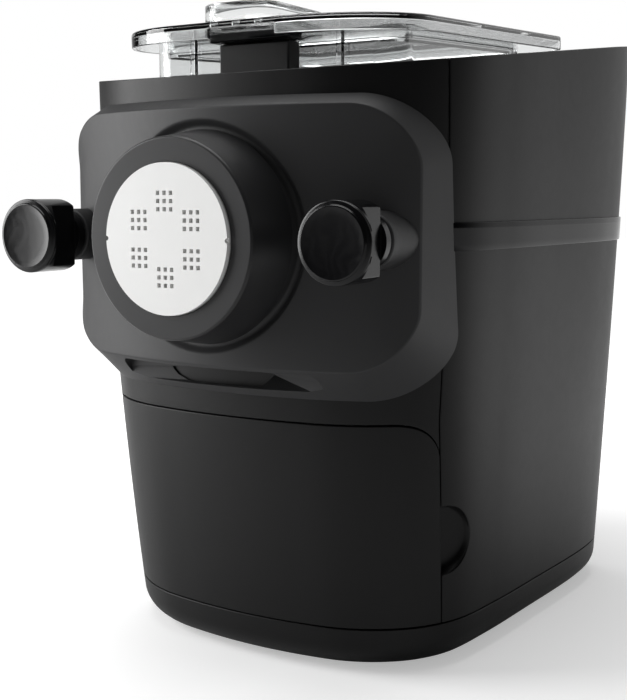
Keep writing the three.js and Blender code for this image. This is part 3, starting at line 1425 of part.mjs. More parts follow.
// A helical blade about the nozzle axis, from its front end back to the hub
function augerFlight() {
  const turns = (augerBackDepth - augerFrontDepth - augerBlade) / augerPitch;
  const steps = Math.round(turns * augerStepsPerTurn);
  const rings = Array.from({ length: steps + 1 }, (_, k) => {
    const angle = (k / steps) * turns * 2 * Math.PI;
    const depth = augerFrontDepth + (k / steps) * turns * augerPitch;
    const corner = (radius, along) => new THREE.Vector3(
      radius * Math.cos(angle), behind(depth + along), nozzleHeight + radius * Math.sin(angle));
    const core = augerCoreRadius - overrun;
    return [corner(core, 0), corner(augerRadius, 0), corner(augerRadius, augerBlade), corner(core, augerBlade)];
  });
  return loft(rings, (point) => new THREE.Vector2(
    Math.hypot(point.x, point.z - nozzleHeight), point.y));
}

function mixingPaddle() {
  const hub = barY(hubRadius, behind(hubFrontDepth), behind(hubBackDepth), 0, nozzleHeight, smallRoundSteps);
  const core = barY(augerCoreRadius, behind(augerFrontDepth), behind(hubFrontDepth) + overrun,
    0, nozzleHeight, smallRoundSteps);
  const bore = barY(shaftRadius + gap, behind(shaftFrontDepth) - gap, behind(hubBackDepth) + overrun,
    0, nozzleHeight, smallRoundSteps);
  const arms = armDepths.flatMap((depth, k) => {
    const turn = toRadians(armTurn * k);
    const arm = new THREE.BoxGeometry(armThickness, armWidth, paddleRadius - bladeThickness / 2);
    arm.translate(0, 0, (paddleRadius - bladeThickness / 2) / 2);
    const blade = new THREE.BoxGeometry(armWidth, bladeLength, bladeThickness);
    blade.translate(0, 0, paddleRadius - bladeThickness / 2 - bladeSetback);
    return [arm, blade].map((piece) => {
      piece.rotateY(turn);
      piece.translate(0, behind(depth), nozzleHeight);
      return solid(piece);
    });
  });
  add('mixing_paddle', without(joined(hub, core, augerFlight(), ...arms), bore), discWhite);
  add('drive_shaft', barY(shaftRadius, behind(shaftFrontDepth), behind(shaftBackDepth), 0, nozzleHeight,
    smallRoundSteps), steel);
}

// Power board, cable gland and mains switch
function electrics() {
  const floorTop = baseBottomZ + baseFloor;
  const y0 = behind(powerBoardFrontDepth);
  const board = block(powerBoardX, powerBoardX + boardThickness, y0, y0 + powerBoardLength,
    floorTop + gap, floorTop + powerBoardHeight);
  const boardMiddle = floorTop + powerBoardHeight / 2;
  const transformer = block(powerBoardX, powerBoardX + transformerSize, y0 + capacitorRadius,
    y0 + capacitorRadius + transformerSize, boardMiddle - transformerSize / 2, boardMiddle + transformerSize / 2);
  const capacitor = barZ(capacitorRadius, boardMiddle - transformerSize / 2, boardMiddle + transformerSize / 2,
    powerBoardX + capacitorRadius, y0 + powerBoardLength - capacitorInset, smallRoundSteps);
  add('power_board', joined(board, transformer, capacitor), boardGreen);
  const glandBack = casingBackDepth - gap;
  const flangeBack = casingBackDepth - casingWall - seamGap;
  add('cord_gland', turnedY([
    [glandBore, glandBack - glandLength], [glandRadius, glandBack - glandLength],
    [glandRadius, flangeBack - glandFlange], [glandRadius + glandFlange, flangeBack - glandFlange],
    [glandRadius + glandFlange, flangeBack], [glandRadius, flangeBack], [glandRadius, glandBack],
    [glandBore, glandBack], [glandBore, glandBack - glandLength],
  ], glandX, glandZ, smallRoundSteps), rubber);
  add('mains_rocker', block(rockerX - rockerHalfWidth, rockerX + rockerHalfWidth,
    behind(rockerFaceDepth) - rockerThickness, behind(rockerFaceDepth),
    rockerZ - rockerHalfHeight, rockerZ + rockerHalfHeight), glossBlack);
}

casing();
base();
feet();
drawer();
frontModule();
extrusionTube();
shapingDisc();
ringNut();
clampingKnob('left', -1);
clampingKnob('right', 1);
mixingChamber();
lid();
lidLock();
topDeck();
controls();
chassis();
gears();
gearbox();
motor();
mixingPaddle();
electrics();

export default machine;
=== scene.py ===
import math

import bmesh
import bpy
from mathutils import Matrix, Vector


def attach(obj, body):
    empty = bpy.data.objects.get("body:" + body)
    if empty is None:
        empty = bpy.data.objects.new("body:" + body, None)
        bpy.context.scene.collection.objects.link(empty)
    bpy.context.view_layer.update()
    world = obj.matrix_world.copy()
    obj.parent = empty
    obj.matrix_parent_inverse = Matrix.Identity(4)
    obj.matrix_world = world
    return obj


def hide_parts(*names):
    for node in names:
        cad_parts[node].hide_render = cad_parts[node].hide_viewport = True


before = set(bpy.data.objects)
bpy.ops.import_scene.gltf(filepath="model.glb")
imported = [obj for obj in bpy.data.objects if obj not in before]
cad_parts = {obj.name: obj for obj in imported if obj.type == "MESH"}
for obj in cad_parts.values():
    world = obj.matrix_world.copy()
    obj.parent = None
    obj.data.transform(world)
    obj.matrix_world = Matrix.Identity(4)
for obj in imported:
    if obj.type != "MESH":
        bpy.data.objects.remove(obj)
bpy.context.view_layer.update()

# Sizes are millimetres; a depth is measured backwards from the face of the shaping disc
MM = 0.001
OVERALL_DEPTH = 304.0
NOZZLE_HEIGHT = 210.0

# Camera, solved from the photograph
CAMERA_PLACE = Vector((327.9, -561.0, 228.7))
CAMERA_TURN = 31.583
CAMERA_DIP = 7.386
LENS_LENGTH = 60.93
SENSOR_LENGTH = 36.0

# Casing
CASING_WALL = 3.0
CASING_EDGE = 0.5
BASE_BOTTOM = 2.0
BASE_SEAM = 24.0
BASE_EDGE_RADIUS = 14.0
BASE_WALL_ROW = 19.0
SEAM_GAP = 0.6
BODY_FRONT_AT_BASE = 55.0
BODY_FRONT_AT_TOP = 35.5
FRONT_SETTLES_AT = 281.0
FRONT_LEAN_POWER = 1.8
HALF_WIDTH_AT_BASE = 109.0
HALF_WIDTH_AT_TOP = 121.0
WIDTH_SETTLES_AT = 305.0
WIDTH_POWER = 1.3
RIM_AT_FRONT = 284.0
RIM_SLOPE = 0.1235
SIDE_SEAM_TOP = (75.5, 262.0)
SIDE_SEAM_LOW = 81.0
SIDE_SEAM_BASE = 93.0
BAND_LOW = 204.0
BAND_HIGH = 217.0
BAND_PROUD = 1.1
BAND_SUNK = 1.2
BAND_EDGE = 0.35
BAND_END_GAP = 1.2
CASING_BACK = OVERALL_DEPTH - 1.2
PLAN_SHARES = [
    (0, 0), (0.28, 0.008), (0.50, 0.028), (0.67, 0.068), (0.80, 0.125), (0.885, 0.20), (0.93, 0.33),
    (0.963, 0.51), (1.0, 0.78), (0.985, 0.885), (0.92, 0.955), (0.78, 0.99), (0.5, 1.0), (0, 1.0),
]
PLAN_STEP_SHARE = 0.0015
FRONT_SHARE = 0.23
DRAWER_TOP = 124.4
DRAWER_CORNER = 20.0
RECESS_HEIGHT = 66.0
RECESS_RADIUS = 17.5
RECESS_DEPTH = 9.0
RECESS_ROUND = 3.0
RECESS_WALL = 1.2
RECESS_BACK_SHARE = 0.35

# Front module
PLATE_FRONT = 25.4
PLATE_BOW = 210.0
PLATE_CURL_START = 88.2
PLATE_CURL = 20.0
PLATE_EDGE = 0.7
SKIRT_SINK = 1.0
PLATE_OUTLINE = (98.0, 58.5, 58.5, 28.0)
SKIRT_OUTLINE = (102.0, 64.3, 75.5, 31.0)
DISH_RADIUS = 53.8
DISH_FLAT_RADIUS = 49.8
DISH_DEPTH = 3.0
COLLAR_RADIUS = 47.6
COLLAR_CHAMFER = 0.6
COLLAR_DEPTH = 28.5
SPIGOT_HOLE = 38.0
MODULE_BACK = 38.0
SKIRT_WALL = 6.0
SKIRT_SHARES = (0.965, 0.955)
PLATE_WALL = 9.0
HOLLOW_SHARES = ((0.9, 0.3), (0.8, 0.62))
CASING_CLEARANCE = 0.9
GRIP_HALF_LENGTH = 56.0
GRIP_BELOW = 65.0
GRIP_HEIGHT = 10.0
GRIP_CORNER = 4.6
GRIP_FLOOR_SHARE = 0.62

# Clamping knobs
KNOB_AXIS = 84.5
KNOB_FLAT = 10.0
BOSS_RADIUS = 12.7
BOSS_FRONT = 30.0
BOSS_EDGE = 0.9
BOSS_FOOT = 2.0
SCREW_HOLE = 4.6
SCREW_RADIUS = 4.0
SCREW_FRONT = 12.3
THREAD_FRONT = 78.0
THREAD_BACK = 108.0
SCREW_BACK = 112.0

# Chamber and lid
CHAMBER_HALF_WIDTH = 73.0
CHAMBER_FRONT = 80.0
CHAMBER_BACK = 232.0
TUBE_HOLE = 22.0
SHAFT_HOLE = 11.3
CHAMBER_WALL = 2.5
CHAMBER_CORNER = 14.0
CHAMBER_RIB_X = 42.5
LID_FRONT = 45.2
LID_FRONT_HEIGHT = 301.15
LID_SLOPE = 0.054
LID_LENGTH = 226.8
LID_HALF_WIDTH = 82.4
LID_CORNER = 52.4
LID_BACK_CORNER = 10.4
LID_THICKNESS = 7.6
LID_PLATE = 2.5
LID_SKIRT = 2.2
LID_EDGE = 1.6
LID_INSET_LIMIT = 33.0
NOTCH_X = 9.5
NOTCH_HALF_WIDTH = 18.5
INLET_X = -11.0
INLET_HALF_WIDTH = 21.0
INLET_FRONT = 65.5
INLET_LENGTH = 62.0
INLET_TOP = 320.9
INLET_WALL = 2.2
INLET_CORNER = 13.5
INLET_SLOT_PITCH = 13.0
INLET_SLOT_LENGTH = 26.0
INLET_SLOT_WIDTH = 5.0
RIB_DROP = 9.0
DECK_DROP = 4.0
DECK_WALL = 3.0
DECK_RIB_ROOM = 3.4

# How finely the smooth pieces are divided
FINE_ROUND = 128
MERGE_DISTANCE = 0.002
PLAN_COLUMNS = 150
CASING_ROWS = 44


def behind(depth):
    """World Y of a depth behind the face of the shaping disc."""
    return depth - OVERALL_DEPTH / 2


def node_group(name, inputs, outputs):
    """A shader node group with named float inputs and outputs; returns it with its two end nodes."""
    group = bpy.data.node_groups.new(name, "ShaderNodeTree")
    for label, value in inputs:
        socket = group.interface.new_socket(label, in_out="INPUT", socket_type="NodeSocketFloat")
        socket.default_value = value
    for label in outputs:
        group.interface.new_socket(label, in_out="OUTPUT", socket_type="NodeSocketFloat")
    return group, group.nodes.new("NodeGroupInput"), group.nodes.new("NodeGroupOutput")


def set_node(tree, kind, **values):
    """A new shader node with some of its inputs set."""
    node = tree.nodes.new(kind)
    for label, value in values.items():
        node.inputs[label].default_value = value
    return node


def math_node(tree, operation, first, second):
    node = tree.nodes.new("ShaderNodeMath")
    node.operation = operation
    for socket, value in zip(node.inputs, (first, second)):
        if isinstance(value, (int, float)):
            socket.default_value = value
        else:
            tree.links.new(value, socket)
    return node.outputs[0]


def moulded_grain_group():
    """Fine spark-eroded grain of moulded plastic: a height and a slow variation over the surface."""
    group, start, end = node_group("moulded grain", [("Grains per metre", 1400.0)], ["Height", "Variation"])
    place = group.nodes.new("ShaderNodeTexCoord")
    fine = set_node(group, "ShaderNodeTexNoise", Detail=3.0, Roughness=0.6)
    pits = set_node(group, "ShaderNodeTexVoronoi")
    slow = set_node(group, "ShaderNodeTexNoise", Scale=9.0, Detail=4.0)
    for texture in (fine, pits, slow):
        group.links.new(place.outputs["Object"], texture.inputs["Vector"])
    group.links.new(start.outputs["Grains per metre"], fine.inputs["Scale"])
    group.links.new(start.outputs["Grains per metre"], pits.inputs["Scale"])
    height = math_node(group, "ADD", fine.outputs["Fac"], pits.outputs["Distance"])
    group.links.new(height, end.inputs["Height"])
    group.links.new(slow.outputs["Fac"], end.inputs["Variation"])
    return group


def handling_marks_group():
    """Faint smears and fine rub marks left by hands, as a mask."""
    group, start, end = node_group("handling marks", [("Amount", 0.5)], ["Mask"])
    place = group.nodes.new("ShaderNodeTexCoord")
    smear = set_node(group, "ShaderNodeTexNoise", Scale=24.0, Detail=5.0, Distortion=0.8)
    rub = set_node(group, "ShaderNodeTexWave", Scale=60.0, Distortion=14.0, Detail=3.0)
    for texture in (smear, rub):
        group.links.new(place.outputs["Object"], texture.inputs["Vector"])
    both = math_node(group, "MULTIPLY", smear.outputs["Fac"], rub.outputs["Fac"])
    amount = math_node(group, "MULTIPLY", both, start.outputs["Amount"])
    group.links.new(amount, end.inputs["Mask"])
    return group


def turned_lines_group():
    """Fine tool lines round an axis along Y, for turned metal."""
    group, start, end = node_group("turned lines", [("Lines per metre", 900.0)], ["Height", "Streak"])
    place = group.nodes.new("ShaderNodeTexCoord")
    stretch = set_node(group, "ShaderNodeMapping", Scale=(0.06, 1.0, 0.06))
    lines = set_node(group, "ShaderNodeTexNoise", Detail=4.0)
    group.links.new(place.outputs["Object"], stretch.inputs["Vector"])
    group.links.new(stretch.outputs["Vector"], lines.inputs["Vector"])
    group.links.new(start.outputs["Lines per metre"], lines.inputs["Scale"])
    group.links.new(lines.outputs["Fac"], end.inputs["Height"])
    group.links.new(lines.outputs["Fac"], end.inputs["Streak"])
    return group


MOULDED_GRAIN = moulded_grain_group()
HANDLING_MARKS = handling_marks_group()
TURNED_LINES = turned_lines_group()


def placed_group(tree, group, label, value):
    node = tree.nodes.new("ShaderNodeGroup")
    node.node_tree = group
    node.inputs[label].default_value = value
    return node


def colour_between(tree, mask, low, high):
    """Colour that goes from low to high with a mask."""
    ramp = tree.nodes.new("ShaderNodeValToRGB")
    ramp.color_ramp.elements[0].position = 0.25
    ramp.color_ramp.elements[1].position = 0.75
    ramp.color_ramp.elements[0].color = (*low, 1.0)
    ramp.color_ramp.elements[1].color = (*high, 1.0)
    tree.links.new(mask, ramp.inputs["Fac"])
    return ramp.outputs["Color"]


def value_between(tree, mask, low, high, span=None):
    """Value that goes from low to high with a mask, softly where a span of the mask is given."""
    node = tree.nodes.new("ShaderNodeMapRange")
    node.inputs["To Min"].default_value = low
    node.inputs["To Max"].default_value = high
    if span:
        node.interpolation_type = "SMOOTHSTEP"
        node.inputs["From Min"].default_value, node.inputs["From Max"].default_value = span
    tree.links.new(mask, node.inputs["Value"])
    return node.outputs["Result"]


def bumped(tree, shader, height, distance_mm):
    bump = tree.nodes.new("ShaderNodeBump")
    bump.inputs["Distance"].default_value = distance_mm * MM
    tree.links.new(height, bump.inputs["Height"])
    tree.links.new(bump.outputs["Normal"], shader.inputs["Normal"])


def new_material(name):
    material = bpy.data.materials.new(name)
    material.use_nodes = True
    return material, material.node_tree, material.node_tree.nodes["Principled BSDF"]


def moulded_plastic(name, dark, light, rough, grain, grain_mm, marks=0.3, sheen_level=0.5):
    """Moulded plastic: grain, slow tone variation and faint handling marks in the gloss."""
    material, tree, shader = new_material(name)
    shader.inputs["Specular IOR Level"].default_value = sheen_level
    texture = placed_group(tree, MOULDED_GRAIN, "Grains per metre", grain)
    smears = placed_group(tree, HANDLING_MARKS, "Amount", marks)
    tone = colour_between(tree, texture.outputs["Variation"], dark, light)
    tree.links.new(tone, shader.inputs["Base Color"])
    wear = math_node(tree, "ADD", texture.outputs["Variation"], smears.outputs["Mask"])
    tree.links.new(value_between(tree, wear, rough[0], rough[1]), shader.inputs["Roughness"])
    bumped(tree, shader, texture.outputs["Height"], grain_mm)
    return material


def turned_metal(name, dark, light, rough, lines=900.0, line_mm=0.01):
    material, tree, shader = new_material(name)
    texture = placed_group(tree, TURNED_LINES, "Lines per metre", lines)
    tone = colour_between(tree, texture.outputs["Streak"], dark, light)
    tree.links.new(tone, shader.inputs["Base Color"])
    roughness = value_between(tree, texture.outputs["Streak"], rough[0], rough[1])
    tree.links.new(roughness, shader.inputs["Roughness"])
    bumped(tree, shader, texture.outputs["Height"], line_mm)
    shader.inputs["Metallic"].default_value = 1.0
    return material


def clear_plastic():
    """Clear moulded plastic, with faint swirls in the surface and slightly rubbed patches."""
    material, tree, shader = new_material("clear_plastic")
    texture = placed_group(tree, MOULDED_GRAIN, "Grains per metre", 60.0)
    smears = placed_group(tree, HANDLING_MARKS, "Amount", 0.5)
    tone = colour_between(tree, texture.outputs["Variation"], (0.8, 0.81, 0.81), (0.86, 0.87, 0.87))
    tree.links.new(tone, shader.inputs["Base Color"])
    tree.links.new(value_between(tree, smears.outputs["Mask"], 0.02, 0.09), shader.inputs["Roughness"])
    bumped(tree, shader, texture.outputs["Height"], 0.01)
    shader.inputs["IOR"].default_value = 1.49
    shader.inputs["Transmission Weight"].default_value = 1.0
    return material


def circuit_board():
    material, tree, shader = new_material("circuit_board")
    place = tree.nodes.new("ShaderNodeTexCoord")
    tracks = set_node(tree, "ShaderNodeTexBrick", Scale=160.0, Color1=(0.012, 0.09, 0.03, 1),
                      Color2=(0.02, 0.14, 0.05, 1), Mortar=(0.05, 0.22, 0.07, 1))
    tree.links.new(place.outputs["Object"], tracks.inputs["Vector"])
    tree.links.new(tracks.outputs["Color"], shader.inputs["Base Color"])
    shader.inputs["Roughness"].default_value = 0.4
    return material


CASING_BLACK = moulded_plastic("casing_black", (0.0016, 0.0016, 0.0018), (0.0024, 0.0024, 0.0026), (0.42, 0.5),
                               1500.0, 0.012, 0.3, 0.28)
MODULE_BLACK = moulded_plastic("module_black", (0.024, 0.024, 0.025), (0.03, 0.03, 0.031), (0.46, 0.56),
                               1500.0, 0.012, 0.3, 0.35)
RING_BLACK = moulded_plastic("ring_black", (0.014, 0.014, 0.015), (0.018, 0.018, 0.019), (0.36, 0.44),
                             1500.0, 0.01, 0.3, 0.4)
GLOSS_BLACK = moulded_plastic("gloss_black", (0.0015, 0.0015, 0.002), (0.002, 0.002, 0.0025), (0.08, 0.18),
                              500.0, 0.002, 0.4, 0.15)
KNOB_BLACK = moulded_plastic("knob_black", (0.0025, 0.0025, 0.003), (0.0035, 0.0035, 0.004), (0.14, 0.26),
                             900.0, 0.003, 0.6, 0.3)
DISC_WHITE = moulded_plastic("disc_white", (0.82, 0.82, 0.81), (0.87, 0.87, 0.86), (0.38, 0.5), 900.0, 0.01)
GEAR_WHITE = moulded_plastic("gear_white", (0.66, 0.64, 0.56), (0.74, 0.72, 0.64), (0.4, 0.5), 900.0, 0.01)
INNER_GREY = moulded_plastic("inner_grey", (0.14, 0.15, 0.16), (0.18, 0.19, 0.2), (0.45, 0.58), 900.0, 0.02)
BLACK_RUBBER = moulded_plastic("black_rubber", (0.01, 0.01, 0.01), (0.016, 0.016, 0.016), (0.62, 0.8),
                               2200.0, 0.03)
DISPLAY_BLACK = moulded_plastic("display_black", (0.004, 0.005, 0.007), (0.006, 0.007, 0.009), (0.03, 0.08),
                                300.0, 0.001, 0.6)
TURNED_STEEL = turned_metal("turned_steel", (0.45, 0.46, 0.48), (0.6, 0.61, 0.63), (0.22, 0.38))
SHEET_STEEL = turned_metal("sheet_steel", (0.16, 0.17, 0.18), (0.22, 0.23, 0.24), (0.35, 0.5), 300.0)
YELLOW_BRASS = turned_metal("yellow_brass", (0.52, 0.36, 0.12), (0.66, 0.48, 0.18), (0.25, 0.4))
WOUND_COPPER = turned_metal("wound_copper", (0.4, 0.14, 0.05), (0.6, 0.24, 0.1), (0.3, 0.45), 2600.0, 0.08)
CLEAR_PLASTIC = clear_plastic()
CIRCUIT_BOARD = circuit_board()


# Mesh helpers
def side_word(side):
    return "right" if side > 0 else "left"


def linked(name, data):
    """A new object in the scene."""
    obj = bpy.data.objects.new(name, data)
    bpy.context.scene.collection.objects.link(obj)
    return obj


def clean_mesh(name, points, faces, merged=False):
    """A mesh from points in millimetres, its faces turned outwards; merged joins equal points."""
    mesh = bpy.data.meshes.new(name)
    mesh.from_pydata([Vector(p) * MM for p in points], [], faces)
    shape = bmesh.new()
    if merged:
        mesh.validate()
    shape.from_mesh(mesh)
    if merged:
        bmesh.ops.remove_doubles(shape, verts=shape.verts, dist=MERGE_DISTANCE * MM)
    bmesh.ops.recalc_face_normals(shape, faces=shape.faces)
    shape.to_mesh(mesh)
    shape.free()
    return mesh


def piece(name, points, faces, material, body, slot, replaces=()):
    """A smooth mesh piece that rides on a CAD body and stands for CAD nodes."""
    mesh = clean_mesh(name, points, faces, True)
    mesh.polygons.foreach_set("use_smooth", [True] * len(mesh.polygons))
    obj = linked(name, mesh)
    mesh.materials.append(material)
    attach(obj, body)
    if replaces:
        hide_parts(*replaces)
    return obj


def thickened(obj, wall, inside=(0.0, 0.0, 150.0)):
    """Gives an open skin a wall on its inner side; inside is a point on that side."""
    middle = Vector(inside) * MM
    facing = sum(face.area * face.normal.dot(face.center - middle) for face in obj.data.polygons)
    if facing < 0:
        obj.data.flip_normals()
    solid = obj.modifiers.new("wall", "SOLIDIFY")
    solid.thickness = wall * MM
    solid.offset = -1.0
    solid.use_even_offset = True


def bevelled(obj, radius, angle=35.0, segments=3):
    bevel = obj.modifiers.new("rounding", "BEVEL")
    bevel.width = radius * MM
    bevel.segments = segments
    bevel.limit_method = "ANGLE"
    bevel.angle_limit = math.radians(angle)
    bevel.use_clamp_overlap = False


def shaded(obj):
    """Shades a piece so that its flat faces look flat between rounded edges."""
    obj.modifiers.new("shading", "WEIGHTED_NORMAL").keep_sharp = True


def edge_rounded(obj, radius, angle=35.0, segments=3):
    bevelled(obj, radius, angle, segments)
    shaded(obj)


def settled(obj):
    """Turns the modifiers into plain mesh."""
    graph = bpy.context.evaluated_depsgraph_get()
    bpy.context.view_layer.update()
    mesh = bpy.data.meshes.new_from_object(obj.evaluated_get(graph))
    old = obj.data
    obj.modifiers.clear()
    obj.data = mesh
    bpy.data.meshes.remove(old)
    return obj


def cutter(name, points, faces):
    return linked(name, clean_mesh(name, points, faces))


def cut_out(obj, tool, operation="DIFFERENCE"):
    """Cuts the tool out of the piece, or joins it on, and removes the tool."""
    change = obj.modifiers.new("cut", "BOOLEAN")
    change.operation = operation
    change.solver = "EXACT"
    change.object = tool
    bpy.context.view_layer.update()
    settled(obj)
    bpy.data.objects.remove(tool)
    return obj


def grid_faces(rows, columns, closed=False):
    """Quads between rows of points; closed joins each row's end to its start."""
    last = columns if closed else columns - 1
    return [
        (r * columns + c, r * columns + (c + 1) % columns,
         (r + 1) * columns + (c + 1) % columns, (r + 1) * columns + c)
        for r in range(rows - 1) for c in range(last)
    ]


def table_mesh(table):
    """Points and faces of an open skin through rows of points."""
    return [p for line in table for p in line], grid_faces(len(table), len(table[0]))


def rings_mesh(rings, cap_first=False, cap_last=False):
    """Points and faces of a skin through closed rings of equal count."""
    count = len(rings[0])
    faces = grid_faces(len(rings), count, closed=True)
    if cap_first:
        faces.append(tuple(range(count)))
    if cap_last:
        start = (len(rings) - 1) * count
        faces.append(tuple(range(start, start + count)))
    return [p for ring in rings for p in ring], faces


def turned(name, profile, x, z, material, body, slot, replaces=(), rounding=0.4, steps=FINE_ROUND):
    """A piece turned about an axis along Y; the closed profile lists radius and depth."""
    rings = []
    for radius, depth in profile:
        rings.append([
            Vector((x + radius * math.cos(2 * math.pi * k / steps), behind(depth),
                    z + radius * math.sin(2 * math.pi * k / steps)))
            for k in range(steps)
        ])
    hollow = min(radius for radius, _ in profile) > 0.01
    if hollow:
        rings.append(rings[0])
    points, faces = rings_mesh(rings)
    obj = piece(name, points, faces, material, body, slot, replaces)
    if rounding:
        edge_rounded(obj, rounding)
    return obj


def arc_points(centre, radius, start, stop, steps):
    """Points of a flat arc, angles in degrees."""
    angles = [math.radians(start + (stop - start) * k / steps) for k in range(steps + 1)]
    return [(centre[0] + radius * math.cos(a), centre[1] + radius * math.sin(a)) for a in angles]


def rounded_outline(x0, x1, y0, y1, radius, arc_steps=12, run_steps=1, far_radius=None):
    """Closed outline of a rounded rectangle, anticlockwise, with divided straight runs."""
    far = radius if far_radius is None else far_radius
    corners = [
        arc_points((x1 - radius, y0 + radius), radius, -90, 0, arc_steps),
        arc_points((x1 - far, y1 - far), far, 0, 90, arc_steps),
        arc_points((x0 + far, y1 - far), far, 90, 180, arc_steps),
        arc_points((x0 + radius, y0 + radius), radius, 180, 270, arc_steps),
    ]
    outline = []
    for k, corner in enumerate(corners):
        start = corner[-1]
        stop = corners[(k + 1) % 4][0]
        outline += corner
        for step in range(1, run_steps):
            share = step / run_steps
            outline.append((start[0] + share * (stop[0] - start[0]), start[1] + share * (stop[1] - start[1])))
    return outline


def lifted_rings(profile, step, place_at):
    """Rings about an upright axis; the profile lists radius and lift, place_at puts each point."""
    turns = [math.radians(a) for a in range(0, 360, step)]
    return [[place_at(r * math.cos(turn), r * math.sin(turn), lift) for turn in turns] for r, lift in profile]


def prism(outline, y0, y1):
    """Points and faces of an outline in X and Z, drawn out along Y."""
    return rings_mesh([[Vector((x, y, z)) for x, z in outline] for y in (y0, y1)], True, True)


def block_points(x0, x1, y0, y1, z0, z1):
    points = [(x, y, z) for z in (z0, z1) for x, y in ((x0, y0), (x1, y0), (x1, y1), (x0, y1))]
    faces = [(0, 3, 2, 1), (4, 5, 6, 7), (0, 1, 5, 4), (1, 2, 6, 5), (2, 3, 7, 6), (3, 0, 4, 7)]
    return points, faces


# Casing outline: a closed curve through the shares, seen from above
def curve_point(knots, share):
    """Point of a closed centripetal Catmull-Rom curve through the knots."""
    count = len(knots)
    along = (share % 1.0) * count
    k = int(along)
    t = along - k
    p = [Vector(knots[(k + n) % count]) for n in (-1, 0, 1, 2)]
    spans = [max((p[n + 1] - p[n]).length ** 0.5, 1e-6) for n in range(3)]
    slopes = []
    for a, b, c, before, after in zip(p, p[1:], p[2:], spans, spans[1:]):
        slopes.append(((b - a) / before - (c - a) / (before + after) + (c - b) / after) * spans[1])
    first, second = slopes
    return (p[1] + t * first + t * t * (-3 * p[1] + 3 * p[2] - 2 * first - second)
            + t ** 3 * (2 * p[1] - 2 * p[2] + first + second))


PLAN_KNOTS = PLAN_SHARES + [(-x, y) for x, y in reversed(PLAN_SHARES[1:-1])]
PLAN_TABLE_STEPS = 1040
PLAN_TABLE = [curve_point(PLAN_KNOTS, k / PLAN_TABLE_STEPS) for k in range(PLAN_TABLE_STEPS)]


def plan_at(share):
    along = (share % 1.0) * PLAN_TABLE_STEPS
    k = int(along)
    return PLAN_TABLE[k % PLAN_TABLE_STEPS].lerp(PLAN_TABLE[(k + 1) % PLAN_TABLE_STEPS], along - k)


def half_width_at(z):
    fall = max(0.0, (WIDTH_SETTLES_AT - z) / (WIDTH_SETTLES_AT - BASE_SEAM))
    return HALF_WIDTH_AT_TOP - (HALF_WIDTH_AT_TOP - HALF_WIDTH_AT_BASE) * fall ** WIDTH_POWER


def front_depth_at(z):
    fall = max(0.0, (FRONT_SETTLES_AT - z) / (FRONT_SETTLES_AT - BASE_SEAM))
    return BODY_FRONT_AT_TOP + (BODY_FRONT_AT_BASE - BODY_FRONT_AT_TOP) * fall ** FRONT_LEAN_POWER


def casing_point(share, z, inset=0.0):
    """Point of the casing's outer face, moved inwards by inset."""
    flat = plan_at(share)
    step = plan_at(share + PLAN_STEP_SHARE) - plan_at(share - PLAN_STEP_SHARE)
    half_width = half_width_at(z)
    length = CASING_BACK - front_depth_at(z)
    outward = Vector((step.y * length, -step.x * half_width)).normalized()
    x = flat.x * half_width - outward.x * inset
    y = behind(front_depth_at(z) + flat.y * length) - outward.y * inset
    return Vector((x, y, z))


def rim_height(y):
    return RIM_AT_FRONT + RIM_SLOPE * (y - behind(BODY_FRONT_AT_TOP))


def halved(low, high, below, steps):
    """Narrows a span to the place where below() stops being true."""
    for _ in range(steps):
        middle = (low + high) / 2
        low, high = (middle, high) if below(middle) else (low, middle)
    return low, high


def side_seam_y(z):
    """World Y of the seam between the front and the rear casing at a height."""
    if z >= DRAWER_TOP:
        share = (z - DRAWER_TOP) / (SIDE_SEAM_TOP[1] - DRAWER_TOP)
        return behind(SIDE_SEAM_LOW + share * (SIDE_SEAM_TOP[0] - SIDE_SEAM_LOW))
    share = (DRAWER_TOP - z) / (DRAWER_TOP - BASE_SEAM)
    return behind(SIDE_SEAM_LOW + share * (SIDE_SEAM_BASE - SIDE_SEAM_LOW))


def share_at(y, z):
    """Share of the casing outline, on the right side, where it passes a world Y."""
    return sum(halved(0.0, 0.5, lambda share: casing_point(share, z).y < y, 22)) / 2


def drawer_edge_height(y):
    """Top of the drawer front at a world Y, with its rounded rear corner."""
    corner_y = side_seam_y(DRAWER_TOP - DRAWER_CORNER) - DRAWER_CORNER
    back = min(max(0.0, y - corner_y), DRAWER_CORNER)
    return DRAWER_TOP - DRAWER_CORNER + math.sqrt(DRAWER_CORNER ** 2 - back ** 2)


def seam_columns(count):
    """Places from -1 to 1 across the front, closer together towards the seams."""
    return [math.sin(math.pi / 2 * (2 * k / (count - 1) - 1)) for k in range(count)]


def front_skin(columns, low_at, high_at, rows):
    """Rows of points on the front of the casing between the two side seams."""
    shares = {}

    def edge_share(z):
        key = round(z, 1)
        if key not in shares:
            shares[key] = share_at(side_seam_y(key), key)
        return shares[key]

    table = []
    for row in range(rows):
        line = []
        for place in columns:
            z = DRAWER_TOP
            for _ in range(4):
                y = casing_point(abs(place) * edge_share(z), z).y
                low, high = low_at(y), high_at(y)
                z = low + (high - low) * row / (rows - 1)
            point = casing_point(abs(place) * edge_share(z), z)
            line.append(Vector((math.copysign(point.x, place), point.y, z)))
        table.append(line)
    return table


def front_shell(name, low_at, high_at, rows, body, node):
    """Shell of the casing's front between the side seams, from a lower to an upper edge."""
    skin = front_skin(seam_columns(PLAN_COLUMNS), low_at, high_at, rows)
    shell = piece(name, *table_mesh(skin), CASING_BLACK, body, "casing", [node])
    thickened(shell, CASING_WALL)
    edge_rounded(shell, CASING_EDGE)


def casing_front():
    front_shell("casing_front", lambda y: drawer_edge_height(y) + SEAM_GAP, rim_height, CASING_ROWS,
                "housing", "front_housing")
    front_shell("drawer_door", lambda y: BASE_SEAM, drawer_edge_height, CASING_ROWS // 2,
                "drawer", "drawer_front")


